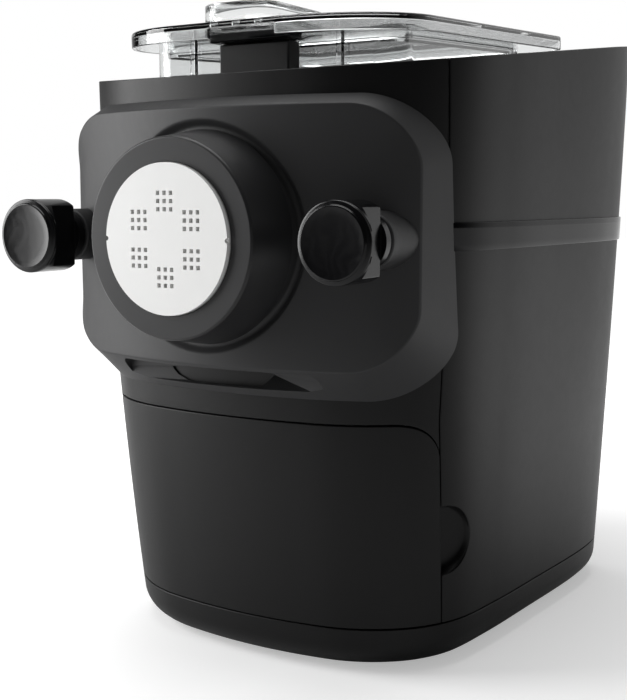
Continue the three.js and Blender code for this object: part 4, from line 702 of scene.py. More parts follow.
def casing_heights():
    """Heights at the front edge of the rear casing, with extra rows round the finger recess."""
    top = rim_height(side_seam_y(RIM_AT_FRONT))
    around = [RECESS_HEIGHT + RECESS_RADIUS * math.sin(math.radians(a)) for a in range(-90, 91, 10)]
    low = [BASE_SEAM + (around[0] - BASE_SEAM) * k / 6 for k in range(6)]
    steps = CASING_ROWS
    high = [around[-1] + (top - around[-1]) * (k + 1) / steps for k in range(steps)]
    return low + around + high, top


def casing_rear():
    heights, top = casing_heights()
    edge_rim = side_seam_y(RIM_AT_FRONT)
    columns = 2 * PLAN_COLUMNS
    table = []
    for height in heights:
        bite = max(0.0, RECESS_RADIUS ** 2 - (height - RECESS_HEIGHT) ** 2) ** 0.5
        edge = share_at(side_seam_y(height) + SEAM_GAP + bite, height)
        line = []
        for k in range(columns):
            share = edge + (1 - 2 * edge) * k / (columns - 1)
            rim = rim_height(casing_point(share, height).y)
            z = BASE_SEAM + (height - BASE_SEAM) * (rim - BASE_SEAM) / (rim_height(edge_rim) - BASE_SEAM)
            line.append(casing_point(share, z))
        table.append(line)
    rear = piece("casing_sides", *table_mesh(table), CASING_BLACK, "housing", "casing", ["rear_housing"])
    thickened(rear, CASING_WALL)
    bevelled(rear, CASING_EDGE)
    settled(rear)
    for points, faces in rear_opening_blocks():
        cut_out(rear, cutter("opening", points, faces))
    shaded(rear)
    for side in (-1, 1):
        finger_recess(side)


VENT_COUNT = 7
VENT_PITCH = 9.0
VENT_WIDTH = 3.5
VENT_HEIGHT = 40.0
VENT_MIDDLE = 92.0
GLAND_PLACE = (62.0, 46.0)
GLAND_RADIUS = 7.0
ROCKER_PLACE = (-62.0, 48.0)
ROCKER_OPENING = (7.3, 10.2)
ROCKER_CAP = (7.0, 9.0)


def rear_opening_blocks():
    """Cooling slots, switch opening and cable hole through the back of the casing."""
    inside = behind(CASING_BACK) - 4 * CASING_WALL
    outside = behind(CASING_BACK) + CASING_WALL
    shapes = []
    for k in range(VENT_COUNT):
        x = (k - (VENT_COUNT - 1) / 2) * VENT_PITCH
        outline = rounded_outline(x - VENT_WIDTH / 2, x + VENT_WIDTH / 2, VENT_MIDDLE - VENT_HEIGHT / 2,
                                  VENT_MIDDLE + VENT_HEIGHT / 2, VENT_WIDTH / 2 - 0.01, 6)
        shapes.append(outline)
    x, z = ROCKER_PLACE
    shapes.append(rounded_outline(x - ROCKER_OPENING[0], x + ROCKER_OPENING[0], z - ROCKER_OPENING[1],
                                  z + ROCKER_OPENING[1], 1.0, 4))
    x, z = GLAND_PLACE
    shapes.append(arc_points((x, z), GLAND_RADIUS + 0.3, 0, 350, 35))
    return [prism(outline, inside, outside) for outline in shapes]


def finger_recess(side):
    """Bowl behind the drawer's edge: a round wall that runs into a floor tilted towards the front."""
    edge = side_seam_y(RECESS_HEIGHT) + SEAM_GAP
    rows = []
    angle_steps = 36
    for k in range(angle_steps + 1):
        turn = math.radians(-90 + 180 * k / angle_steps)
        line = []
        for radial, sink in recess_profile():
            z = RECESS_HEIGHT + radial * math.sin(turn)
            back = radial * math.cos(turn)
            y = max(side_seam_y(z) + SEAM_GAP, edge + back) if back > 0.01 else side_seam_y(z) + SEAM_GAP
            outer = casing_point(share_at(y, z), z)
            front_share = max(0.0, 1 - back / RECESS_RADIUS)
            depth = sink * (RECESS_BACK_SHARE + (1 - RECESS_BACK_SHARE) * front_share)
            line.append(Vector((side * (outer.x - depth), outer.y, z)))
        rows.append(line)
    bowl = piece(f"finger_recess_{side_word(side)}", *table_mesh(rows), CASING_BLACK, "housing", "casing")
    thickened(bowl, RECESS_WALL, (0.0, behind(SIDE_SEAM_LOW), RECESS_HEIGHT))


def recess_profile():
    """Radius and depth pairs from the rim of the recess to the middle of its floor."""
    wall = [(RECESS_RADIUS, 0.3), (RECESS_RADIUS - 0.25, 0.9)]
    turn_in = [
        (RECESS_RADIUS - 0.3 - RECESS_ROUND * (1 - math.cos(math.radians(a))),
         RECESS_DEPTH - RECESS_ROUND * (1 - math.sin(math.radians(a))))
        for a in range(0, 91, 15)
    ]
    floor = [(RECESS_RADIUS * share, RECESS_DEPTH) for share in (0.6, 0.4, 0.2, 0.01)]
    return wall + turn_in + floor


def casing_base():
    """Bottom tray: rounded lower edge all round and a flat floor."""
    columns = 2 * PLAN_COLUMNS
    edge_steps = 14
    edge = [casing_point(k / columns, BASE_BOTTOM, BASE_EDGE_RADIUS) for k in range(columns)]
    rings = [[Vector((p.x * share, p.y * share, p.z)) for p in edge] for share in (0.4, 0.7)]
    for step in range(edge_steps + 1):
        angle = step / edge_steps * math.pi / 2
        z = BASE_BOTTOM + BASE_EDGE_RADIUS * (1 - math.cos(angle))
        inset = BASE_EDGE_RADIUS * (1 - math.sin(angle))
        rings.append([casing_point(k / columns, z, inset) for k in range(columns)])
    for z in (BASE_WALL_ROW, BASE_SEAM - SEAM_GAP):
        rings.append([casing_point(k / columns, z) for k in range(columns)])
    points, faces = rings_mesh(rings, cap_first=True)
    tray = piece("base_bowl", points, faces, CASING_BLACK, "housing", "casing", ["base_tray"])
    thickened(tray, CASING_WALL)
    edge_rounded(tray, CASING_EDGE)


def trim_band():
    """Gloss band that lies round the sides and the back of the casing."""
    edge = share_at(side_seam_y(BAND_LOW) + BAND_END_GAP, BAND_LOW)
    columns = 2 * PLAN_COLUMNS
    rounding = [(0.0, BAND_SUNK), (0.0, -BAND_PROUD + BAND_EDGE),
                (BAND_EDGE * 0.3, -BAND_PROUD + BAND_EDGE * 0.3), (BAND_EDGE, -BAND_PROUD), (3.0, -BAND_PROUD)]
    section = [(BAND_LOW + rise, inset) for rise, inset in rounding]
    section += [((BAND_LOW + BAND_HIGH) / 2, -BAND_PROUD)]
    section += [(BAND_HIGH - rise, inset) for rise, inset in reversed(rounding)]
    rings = [
        [casing_point(edge + (1 - 2 * edge) * k / columns, z, inset) for z, inset in section]
        for k in range(columns + 1)
    ]
    points, faces = rings_mesh(rings, True, True)
    piece("gloss_band", points, faces, GLOSS_BLACK, "housing", "gloss", ["trim_band"])


# Front module
def module_outline(shape, inset=0.0):
    """Outline of the plate or the skirt about the nozzle axis, X and Z."""
    half_width, above, below, radius = shape
    return rounded_outline(-half_width + inset, half_width - inset, -below + inset, above - inset,
                           radius - inset, 28, 40)


def plate_depth(x):
    """Depth of the module's front face: a wide bow that curls back at the sides."""
    across = abs(x)
    if across <= PLATE_CURL_START:
        return PLATE_FRONT + PLATE_BOW - math.sqrt(PLATE_BOW ** 2 - across ** 2)
    tilt = math.asin(PLATE_CURL_START / PLATE_BOW)
    sine = min(1.0, math.sin(tilt) + (across - PLATE_CURL_START) / PLATE_CURL)
    return (PLATE_FRONT + PLATE_BOW * (1 - math.cos(tilt))
            + PLATE_CURL * (math.cos(tilt) - math.sqrt(1 - sine ** 2)))


def skirt_depth(x, z):
    """Depth at which the bevel runs into the casing."""
    height = NOZZLE_HEIGHT + z
    return casing_point(share_of_x(abs(x), height), height, SKIRT_SINK).y - behind(0)


def circle_ring(outline, radius, depth_at):
    """Ring of a circle whose points lie in the directions of an outline's points."""
    ring = []
    for x, z in outline:
        turn = math.atan2(z, x)
        px, pz = radius * math.cos(turn), radius * math.sin(turn)
        ring.append(Vector((px, behind(depth_at(px, pz)), NOZZLE_HEIGHT + pz)))
    return ring


def smooth_step(t):
    t = min(1.0, max(0.0, t))
    return t * t * (3 - 2 * t)


def dish_drop(radius):
    """How far the gutter round the ring lies below the plate at a radius."""
    return DISH_DEPTH * (1 - smooth_step((radius - DISH_FLAT_RADIUS) / (DISH_RADIUS - DISH_FLAT_RADIUS)))


def module_rings():
    plate = module_outline(PLATE_OUTLINE)
    skirt = module_outline(SKIRT_OUTLINE)
    rings = []
    for radius in (SPIGOT_HOLE, COLLAR_RADIUS - COLLAR_CHAMFER):
        rings.append(circle_ring(plate, radius, lambda x, z: COLLAR_DEPTH))
    rings.append(circle_ring(plate, COLLAR_RADIUS, lambda x, z: COLLAR_DEPTH + COLLAR_CHAMFER))
    rings.append(circle_ring(plate, COLLAR_RADIUS, lambda x, z: plate_depth(x) + DISH_DEPTH - 0.2))
    for step in range(-1, 9):
        radius = DISH_FLAT_RADIUS + (DISH_RADIUS - DISH_FLAT_RADIUS) * step / 8
        rings.append(circle_ring(plate, radius, lambda x, z, r=radius: plate_depth(x) + dish_drop(r)))
    dish = circle_ring(plate, DISH_RADIUS, lambda x, z: 0.0)
    for share in (0.12, 0.3, 0.5, 0.7, 0.88):
        ring = []
        for start, (x, z) in zip(dish, plate):
            px = start.x + share * (x * 0.985 - start.x)
            pz = (start.z - NOZZLE_HEIGHT) + share * (z * 0.975 - (start.z - NOZZLE_HEIGHT))
            ring.append(Vector((px, behind(plate_depth(px)), NOZZLE_HEIGHT + pz)))
        rings.append(ring)
    rings += edge_rings(plate, skirt)
    return rings


def edge_rings(plate, skirt):
    """Narrow rounded plate edge and the bevel that runs back into the casing."""
    rings = []
    ends = [Vector((x, behind(skirt_depth(x, z)), NOZZLE_HEIGHT + z)) for x, z in skirt]
    starts = [Vector((x, behind(plate_depth(x)), NOZZLE_HEIGHT + z)) for x, z in plate]
    inner = module_outline(PLATE_OUTLINE, PLATE_EDGE)
    flat = [Vector((x, behind(plate_depth(x)), NOZZLE_HEIGHT + z)) for x, z in inner]
    turned_over = [a + (b - a).normalized() * PLATE_EDGE for a, b in zip(starts, ends)]
    for step in range(5):
        t = step / 4
        rings.append([
            a * (1 - t) ** 2 + b * 2 * t * (1 - t) + c * t ** 2
            for a, b, c in zip(flat, starts, turned_over)
        ])
    for share in (0.15, 0.32, 0.5, 0.68, 0.85, 1.0):
        rings.append([a.lerp(b, share) for a, b in zip(turned_over, ends)])
    return rings


def front_module():
    """Bowed plate with its bevelled skirt, cut to the casing behind it, with the finger slot."""
    rings = module_rings()
    outline = module_outline(PLATE_OUTLINE)
    inward = [[Vector((p.x * SKIRT_SHARES[0], p.y + SKIRT_WALL,
                       NOZZLE_HEIGHT + (p.z - NOZZLE_HEIGHT) * SKIRT_SHARES[1])) for p in rings[-1]]]
    for share in (1.0, 0.6, 0.25):
        across, up = (edge * share + middle * (1 - share) for edge, middle in HOLLOW_SHARES)
        inward.append([Vector((x * across, behind(plate_depth(x) + PLATE_WALL), NOZZLE_HEIGHT + z * up))
                       for x, z in outline])
    inward.append(circle_ring(outline, SPIGOT_HOLE, lambda x, z: MODULE_BACK))
    points, faces = rings_mesh(rings + inward + [rings[0]])
    plate = piece("front_module", points, faces, MODULE_BLACK, "module", "module", ["module_plate"])
    cut_out(plate, casing_cutter())
    cut_out(plate, grip_cutter())
    for side in (-1, 1):
        cut_out(plate, screw_cutter(side))
    shaded(plate)
    for side in (-1, 1):
        knob_boss(side)


def casing_cutter():
    """The casing grown a little, so that the module's skirt ends just clear of it."""
    columns, rows = 160, 20
    heights = [BASE_SEAM + (RIM_AT_FRONT - BASE_SEAM) * k / rows for k in range(rows + 1)]
    rings = [[casing_point(k / columns, z, -CASING_CLEARANCE) for k in range(columns)] for z in heights]
    points, faces = rings_mesh(rings, True, True)
    return cutter("casing_room", points, faces)


def grip_cutter():
    """Long slot for the fingertips under the plate, rounded at both ends."""
    low = NOZZLE_HEIGHT - GRIP_BELOW - GRIP_HEIGHT / 2
    outline = rounded_outline(-GRIP_HALF_LENGTH, GRIP_HALF_LENGTH, low, low + GRIP_HEIGHT, GRIP_CORNER, 8, 24)
    rings = [[Vector((x, behind(PLATE_FRONT), z)) for x, z in outline],
             [Vector((x, behind(grip_back_depth(x)), z)) for x, z in outline]]
    return cutter("finger_slot", *rings_mesh(rings, True, True))


def grip_back_depth(x):
    """Depth of the slot's far rim; the cut's flat end lies deeper in the middle, where the slot is open."""
    z = NOZZLE_HEIGHT - GRIP_BELOW
    casing = casing_point(share_of_x(abs(x), z), z).y - behind(0)
    return plate_depth(x) + GRIP_FLOOR_SHARE * (casing - plate_depth(x))


def share_of_x(x, z):
    """Share of the casing outline, on the right front, where it passes a world X."""
    return sum(halved(0.0, FRONT_SHARE, lambda share: casing_point(share, z).x < x, 18)) / 2


def screw_cutter(side):
    ring = arc_points((side * KNOB_AXIS, NOZZLE_HEIGHT), SCREW_HOLE, 0, 350, 35)
    return cutter("screw_hole", *prism(ring, behind(0), behind(110)))


def knob_boss(side):
    """Round boss on the plate that the knob's washer bears on, with a soft foot."""
    x = side * KNOB_AXIS
    steps = FINE_ROUND
    rings = []
    flat = BOSS_RADIUS - BOSS_EDGE
    profile = [(SCREW_HOLE, None), (SCREW_HOLE, BOSS_FRONT + 0.5), (SCREW_HOLE + 0.5, BOSS_FRONT),
               (flat, BOSS_FRONT)]
    profile += [(flat + BOSS_EDGE * math.sin(turn), BOSS_FRONT + BOSS_EDGE * (1 - math.cos(turn)))
                for turn in map(math.radians, (20, 40, 60, 80, 90))]
    profile += [(BOSS_RADIUS, None)]
    for radius, depth in profile:
        ring = []
        for k in range(steps):
            turn = 2 * math.pi * k / steps
            px = x + radius * math.cos(turn)
            pz = radius * math.sin(turn)
            level = depth if depth is not None else plate_depth(px) + BOSS_FOOT
            ring.append(Vector((px, behind(level), NOZZLE_HEIGHT + pz)))
        rings.append(ring)
    rings.append(rings[0])
    points, faces = rings_mesh(rings)
    piece(f"knob_boss_{side_word(side)}", points, faces, MODULE_BLACK, "module", "module")


# Ring, disc and tube
def ring_and_tube():
    turned("ring_nut_body", [
        (33.9, 2.1), (44.2, 2.1), (45.0, 3.0), (45.3, 6.0), (46.6, 14.0), (48.2, 24.0), (48.8, 27.4),
        (48.6, 28.1), (38.4, 28.1), (38.4, 4.3), (33.9, 4.3),
    ], 0, NOZZLE_HEIGHT, RING_BLACK, "ring", "module", ["ring_nut"], 0.35)
    turned("pressing_tube", [
        (21.5, 9.4), (37.6, 9.4), (37.6, 34.0), (34.0, 34.0), (34.0, 13.0), (25.0, 13.0), (25.0, 77.0),
        (21.5, 77.0),
    ], 0, NOZZLE_HEIGHT, INNER_GREY, "module", "frame", ["extrusion_tube"])


HOLE_SIZE = 1.9
HOLE_PITCH = 3.57
HOLE_GROUP_RADIUS = 16.7
HOLE_GROUPS = 6
NOTCH_RADIUS = 1.1
NOTCH_PLACE = 33.4


def shaping_disc():
    """Off-white disc with six groups of nine square holes and a small notch at each side."""
    disc = turned("shaping_plate", [
        (0.0, 0.0), (33.5, 0.0), (33.5, 4.6), (37.0, 4.6), (37.0, 9.1), (30.0, 9.1), (30.0, 3.4), (0.0, 3.4),
    ], 0, NOZZLE_HEIGHT, DISC_WHITE, "die", "disc", ["shaping_disc"], None)
    points, faces = [], []
    for group in range(HOLE_GROUPS):
        turn = math.pi / 2 + 2 * math.pi * group / HOLE_GROUPS
        for column in (-1, 0, 1):
            for row in (-1, 0, 1):
                x = HOLE_GROUP_RADIUS * math.cos(turn) + column * HOLE_PITCH
                z = NOZZLE_HEIGHT + HOLE_GROUP_RADIUS * math.sin(turn) + row * HOLE_PITCH
                half = HOLE_SIZE / 2
                hole, sides = block_points(x - half, x + half, behind(-1), behind(5), z - half, z + half)
                faces += [tuple(len(points) + n for n in side) for side in sides]
                points += hole
    for side in (-1, 1):
        ring = arc_points((side * NOTCH_PLACE, NOZZLE_HEIGHT), NOTCH_RADIUS, 0, 345, 23)
        notch, sides = prism(ring, behind(-1), behind(1.6))
        faces += [tuple(len(points) + n for n in side) for side in sides]
        points += notch
    cut_out(disc, cutter("disc_holes", points, faces))
    disc.data.polygons.foreach_set("use_smooth", [False] * len(disc.data.polygons))


# Knobs
SCREW_PITCH = 1.5
SCREW_THREAD_DEPTH = 0.55


def clamping_knob(side):
    """Knob cap, grip with a flat at each side, its screw and the washer behind it."""
    word = side_word(side)
    x = side * KNOB_AXIS
    body = f"knob_{word}"
    turned(f"knob_cap_{word}", [
        (0.0, 1.35), (6.0, 1.3), (11.0, 1.15), (13.6, 0.95), (14.6, 0.75), (15.1, 0.8), (15.4, 1.2),
        (15.5, 1.6), (15.8, 1.8), (16.7, 1.9), (17.3, 2.3), (17.5, 2.9), (17.4, 3.2), (16.9, 3.3), (0.0, 3.3),
    ], x, NOZZLE_HEIGHT, KNOB_BLACK, body, "gloss", [f"knob_{word}"], 0.2)
    grip = turned(f"knob_grip_{word}", [
        (4.3, 3.3), (16.9, 3.3), (17.45, 3.7), (17.45, 23.0), (16.9, 23.4), (13.2, 23.4), (12.5, 23.9),
        (12.5, 28.3), (12.1, 28.6), (4.3, 28.6),
    ], x, NOZZLE_HEIGHT, KNOB_BLACK, body, "gloss", (), None)
    for edge in (-1, 1):
        section = [(KNOB_FLAT, 8.3), (KNOB_FLAT, 23.7), (20.0, 23.7), (20.0, 1.0), (18.6, 2.4)]
        rings = [[Vector((x + edge * across, behind(depth), NOZZLE_HEIGHT + lift)) for across, depth in section]
                 for lift in (-20.0, 20.0)]
        cut_out(grip, cutter("flat", *rings_mesh(rings, True, True)))
    edge_rounded(grip, 0.35, 40.0, 3)
    turned(f"clamp_screw_{word}_shank", screw_profile(), x, NOZZLE_HEIGHT, TURNED_STEEL, body, "steel",
           [f"clamp_screw_{word}"], None, 48)
    turned(f"bearing_washer_{word}", [(4.3, 28.9), (11.0, 28.9), (11.0, 29.7), (4.3, 29.7)], x, NOZZLE_HEIGHT,
           TURNED_STEEL, f"washer_{word}", "steel", [f"clamp_washer_{word}"], 0.15)


def screw_profile():
    """Shank with fine grooves over the length that enters the clamp nut."""
    profile = [(0.0, SCREW_FRONT), (SCREW_RADIUS, SCREW_FRONT), (SCREW_RADIUS, THREAD_FRONT)]
    depth = THREAD_FRONT
    while depth < THREAD_BACK:
        profile.append((SCREW_RADIUS - SCREW_THREAD_DEPTH, depth + SCREW_PITCH / 2))
        profile.append((SCREW_RADIUS, depth + SCREW_PITCH))
        depth += SCREW_PITCH
    return profile + [(SCREW_RADIUS - 1.2, SCREW_BACK), (0.0, SCREW_BACK)]


# Lid, chamber and lock
LID_TURN = Matrix.Rotation(math.atan(LID_SLOPE), 4, "X")


def on_lid(x, along, lift):
    """Point on the lid's own plane: along runs back from its front edge, lift stands on the flange."""
    turned_point = LID_TURN @ Vector((x, along, lift))
    return turned_point + Vector((0, behind(LID_FRONT), LID_FRONT_HEIGHT))


def lid_outline(inset, steps=20, runs=24):
    return rounded_outline(-LID_HALF_WIDTH + inset, LID_HALF_WIDTH - inset, inset, LID_LENGTH - inset,
                           LID_CORNER - inset, steps, runs, max(0.4, LID_BACK_CORNER - inset))


def lid():
    """Clear lid: plate with a rounded edge and a skirt, notched over the lock."""
    under = LID_THICKNESS - LID_PLATE
    section = [(2.0 * LID_SKIRT, under), (LID_SKIRT + 0.6, under), (LID_SKIRT, under - 0.6), (LID_SKIRT, 0.3),
               (LID_SKIRT - 0.3, 0.0), (0.4, 0.0), (0.0, 0.4), (0.0, LID_THICKNESS - LID_EDGE)]
    section += [
        (LID_EDGE * (1 - math.cos(turn)), LID_THICKNESS - LID_EDGE * (1 - math.sin(turn)))
        for turn in map(math.radians, (18, 36, 54, 72, 90))
    ]
    section += [(8.0, LID_THICKNESS), (25.0, LID_THICKNESS)]
    rings = [[on_lid(x, y, lift) for x, y in lid_outline(min(inset, LID_INSET_LIMIT))]
             for inset, lift in section]
    points, faces = rings_mesh(rings, True, True)
    flange = piece("lid_plate", points, faces, CLEAR_PLASTIC, "lid", "clear", ["lid"])
    notch, faces = block_points(NOTCH_X - NOTCH_HALF_WIDTH, NOTCH_X + NOTCH_HALF_WIDTH, -2.0, LID_SKIRT + 0.3,
                                -2.0, under - 0.05)
    cut_out(flange, cutter("lock_notch", [on_lid(*corner) for corner in notch], faces))
    y0 = INLET_FRONT + INLET_LENGTH - INLET_CORNER - INLET_SLOT_LENGTH - LID_FRONT
    for x in (INLET_X - INLET_SLOT_PITCH, INLET_X, INLET_X + INLET_SLOT_PITCH):
        outline = rounded_outline(x - INLET_SLOT_WIDTH / 2, x + INLET_SLOT_WIDTH / 2,
                                  y0, y0 + INLET_SLOT_LENGTH, 1.2, 4)
        slot_rings = [[on_lid(px, py, lift) for px, py in outline] for lift in (1.0, LID_THICKNESS + 2)]
        cut_out(flange, cutter("inlet_slot", *rings_mesh(slot_rings, True, True)))
    shaded(flange)
    lid_inlet()
    lid_rib()


def wall_ring(name, outer, inner, low_at, high_at, body):
    """Clear upright wall between two outlines, with a softly rounded top."""
    soft = 0.5
    middle = [((ox * 3 + ix) / 4, (oy * 3 + iy) / 4) for (ox, oy), (ix, iy) in zip(outer, inner)]
    other = [((ox + ix * 3) / 4, (oy + iy * 3) / 4) for (ox, oy), (ix, iy) in zip(outer, inner)]

    def shoulder(y):
        return high_at(y) - soft

    levels = ((outer, low_at), (outer, shoulder), (middle, high_at), (other, high_at), (inner, shoulder),
              (inner, low_at), (outer, low_at))
    rings = [[Vector((x, y, height_at(y))) for x, y in outline] for outline, height_at in levels]
    points, faces = rings_mesh(rings)
    return piece(name, points, faces, CLEAR_PLASTIC, body, "clear")


def lid_top_height(y, lift=LID_THICKNESS):
    return LID_FRONT_HEIGHT + LID_SLOPE * (y - behind(LID_FRONT)) + lift


def lid_inlet():
    y0, y1 = behind(INLET_FRONT), behind(INLET_FRONT + INLET_LENGTH)
    left, right = INLET_X - INLET_HALF_WIDTH, INLET_X + INLET_HALF_WIDTH
    outer = rounded_outline(left, right, y0, y1, INLET_CORNER, 14, 8)
    inner = rounded_outline(left + INLET_WALL, right - INLET_WALL, y0 + INLET_WALL, y1 - INLET_WALL,
                            INLET_CORNER - INLET_WALL, 14, 8)
    wall_ring("water_inlet", outer, inner, lambda y: lid_top_height(y) + 0.03, lambda y: INLET_TOP, "lid")


def lid_rib():
    """Rib under the plate that drops into the chamber and locates the lid."""
    inset = CHAMBER_WALL + 1.0
    radius = CHAMBER_CORNER - CHAMBER_WALL
    half = CHAMBER_HALF_WIDTH - inset
    y0, y1 = behind(CHAMBER_FRONT) + inset, behind(CHAMBER_BACK) - inset
    outer = rounded_outline(-half, half, y0, y1, radius, 10, 10)
    inner = rounded_outline(-half + 2, half - 2, y0 + 2, y1 - 2, radius - 2, 10, 10)
    under = LID_THICKNESS - LID_PLATE
    wall_ring("lid_rib", outer, inner, lambda y: lid_top_height(y, under - RIB_DROP),
              lambda y: lid_top_height(y, under) - 0.03, "lid")


def chamber_half_width(y):
    """Half width of the tub at a world Y, drawn in at its rounded upright corners."""
    near = min(y - behind(CHAMBER_FRONT), behind(CHAMBER_BACK) - y)
    into = max(0.0, CHAMBER_CORNER - near)
    return CHAMBER_HALF_WIDTH - CHAMBER_CORNER + math.sqrt(max(0.0, CHAMBER_CORNER ** 2 - into ** 2))


def chamber_section(y, arc_steps=40, side_steps=8):
    half = chamber_half_width(y)
    top = lid_top_height(y, LID_THICKNESS - LID_PLATE) - 0.3
    points = [Vector((half, y, top + (NOZZLE_HEIGHT - top) * k / side_steps)) for k in range(side_steps)]
    for k in range(arc_steps + 1):
        turn = -math.pi * k / arc_steps
        points.append(Vector((half * math.cos(turn), y, NOZZLE_HEIGHT + half * math.sin(turn))))
    points += [Vector((-half, y, NOZZLE_HEIGHT + (top - NOZZLE_HEIGHT) * (k + 1) / side_steps))
               for k in range(side_steps)]
    return points


def mixing_chamber():
    """Clear tub: a trough with rounded upright corners, flat ends, and two ribs on its front."""
    front, back = behind(CHAMBER_FRONT), behind(CHAMBER_BACK)
    corner_steps = 10
    bends = [CHAMBER_CORNER * (1 - math.cos(math.pi / 2 * k / corner_steps)) for k in range(corner_steps + 1)]
    depths = [front + bend for bend in bends]
    middle = [front + CHAMBER_CORNER + (back - front - 2 * CHAMBER_CORNER) * k / 6 for k in range(1, 6)]
    far = [back - bend for bend in reversed(bends)]
    sections = [chamber_section(y) for y in depths + middle + far]
    count = len(sections[0])
    points, faces = table_mesh(sections)
    last = (len(sections) - 1) * count
    faces.append(tuple(range(count)))
    faces.append(tuple(range(last, last + count)))
    tub = piece("chamber_tub", points, faces, CLEAR_PLASTIC, "housing", "clear", ["mixing_chamber"])
    thickened(tub, CHAMBER_WALL)
    settled(tub)
    for radius, y0, y1 in ((TUBE_HOLE, front - 2, front + 6), (SHAFT_HOLE, back - 6, back + 2)):
        ring = arc_points((0, NOZZLE_HEIGHT), radius, 0, 357, 119)
        cut_out(tub, cutter("hole", *prism(ring, y0, y1)))
    for side in (-1, 1):
        rib = block_points(side * CHAMBER_RIB_X - 1.5, side * CHAMBER_RIB_X + 1.5, front - 2.6, front + 1.2,
                           NOZZLE_HEIGHT + 29.0, lid_top_height(front, LID_THICKNESS - LID_PLATE) - 0.4)
        cut_out(tub, cutter("rib", *rib), "UNION")
    edge_rounded(tub, 0.4, 50.0, 2)


def soft_block(name, sides, material, body, slot, replaces=(), rounding=0.8):
    points, faces = block_points(*sides)
    obj = piece(name, points, faces, material, body, slot, replaces)
    edge_rounded(obj, rounding, 35.0, 4)
    return obj


LOCK_TOP = 301.6
LOCK_FRONT = 69.5
LOCK_BACK = 79.7
LOCK_HALF_WIDTH = 20.0
STEM_HALF_WIDTH = 8.0
STEM_BACK = 76.0
LOCK_GAP = 0.3
SLOT_FRONT = 71.0
SLOT_FLOOR = 293.4
STEM_FRONT = 73.8
SLIDE_FRONT = 63.2
SLIDE_BACK = 79.0
SLIDE_HALF_WIDTH = 22.5
SLIDE_CORNER = 2.5
SLIDE_HEIGHT = 4.2


def lid_lock():
    """Black block in front of the chamber, its thumb slide and the slide's stem."""
    y0, y1 = behind(LOCK_FRONT), behind(LOCK_BACK)
    floor = rim_height(y1) - DECK_DROP + LOCK_GAP
    tower = soft_block("lock_block", (-LOCK_HALF_WIDTH, LOCK_HALF_WIDTH, y0, y1, floor, LOCK_TOP), CASING_BLACK,
                       "housing", "casing", ["latch_tower"], 1.0)
    slot = STEM_HALF_WIDTH + LOCK_GAP
    room = block_points(-slot, slot, behind(SLOT_FRONT), behind(STEM_BACK + LOCK_GAP), SLOT_FLOOR,
                        LOCK_TOP + 1.4)
    cut_out(settled(tower), cutter("slot", *room))
    shaded(tower)
    low = LOCK_TOP + LOCK_GAP
    outline = rounded_outline(-SLIDE_HALF_WIDTH, SLIDE_HALF_WIDTH, behind(SLIDE_FRONT), behind(SLIDE_BACK),
                              SLIDE_CORNER, 8)
    rings = [[Vector((x, y, z)) for x, y in outline] for z in (low, low + SLIDE_HEIGHT)]
    slab = piece("lock_slide", *rings_mesh(rings, True, True), GLOSS_BLACK, "latch", "gloss", ["lid_latch"])
    edge_rounded(slab, 0.9, 35.0, 4)
    stem = (-STEM_HALF_WIDTH, STEM_HALF_WIDTH, behind(STEM_FRONT), behind(STEM_BACK), low - 8, low + 0.2)
    soft_block("lock_slide_stem", stem, GLOSS_BLACK, "latch", "gloss", (), 0.4)


def in_rounded_rectangle(x, y, x0, x1, y0, y1, radius):
    across = max(x0 + radius - x, 0.0, x - x1 + radius)
    along = max(y0 + radius - y, 0.0, y - y1 + radius)
    return math.hypot(across, along) <= radius


def deck_hole_edge(middle, outer):
    """Point of the chamber's opening on the line from the middle to a point of the rim."""
    half_width = CHAMBER_HALF_WIDTH + SEAM_GAP

    def inside(share):
        point = middle.lerp(outer, share)
        return in_rounded_rectangle(point.x, point.y, -half_width, half_width,
                                    behind(CHAMBER_FRONT) - DECK_RIB_ROOM, behind(CHAMBER_BACK) + SEAM_GAP,
                                    CHAMBER_CORNER)

    return middle.lerp(outer, halved(0.0, 1.0, inside, 24)[0])


def top_deck():
    """Deck inside the rim, sloping with it, with the opening for the chamber."""
    columns = 2 * PLAN_COLUMNS
    inset = CASING_WALL + 0.3
    middle = Vector((0, behind((CHAMBER_FRONT + CHAMBER_BACK) / 2)))
    outer, inner = [], []
    for k in range(columns):
        z = RIM_AT_FRONT
        for _ in range(3):
            z = rim_height(casing_point(k / columns, z, inset).y) - DECK_DROP
        edge = casing_point(k / columns, z, inset)
        hole = deck_hole_edge(middle, Vector((edge.x, edge.y)))
        outer.append(Vector((edge.x, edge.y, rim_height(edge.y) - DECK_DROP)))
        inner.append(Vector((hole.x, hole.y, rim_height(hole.y) - DECK_DROP)))
    between = [[a.lerp(b, share) for a, b in zip(inner, outer)] for share in (0.33, 0.67)]
    deck = piece("sloping_deck", *rings_mesh([inner, *between, outer]), CASING_BLACK, "housing", "casing",
                 ["top_deck"])
    thickened(deck, DECK_WALL, (0.0, 0.0, -4000.0))
    settled(deck)
    bed_half = DISPLAY_HALF_WIDTH + DISPLAY_GAP
    bed = deck_box(-DISPLAY_LENGTH - DISPLAY_GAP, DISPLAY_GAP, -bed_half, bed_half,
                   -DISPLAY_DEPTH - DISPLAY_GAP, 2.0)
    cut_out(deck, cutter("window_bed", *bed))
    for place in BUTTON_PLACES:
        ring = arc_points((place, 0.0), BUTTON_HOLE, 0, 350, 35)
        rings = [[on_deck(x, y, lift) for x, y in ring] for lift in (-5.0, 2.0)]
        cut_out(deck, cutter("button_hole", *rings_mesh(rings, True, True)))
    shaded(deck)


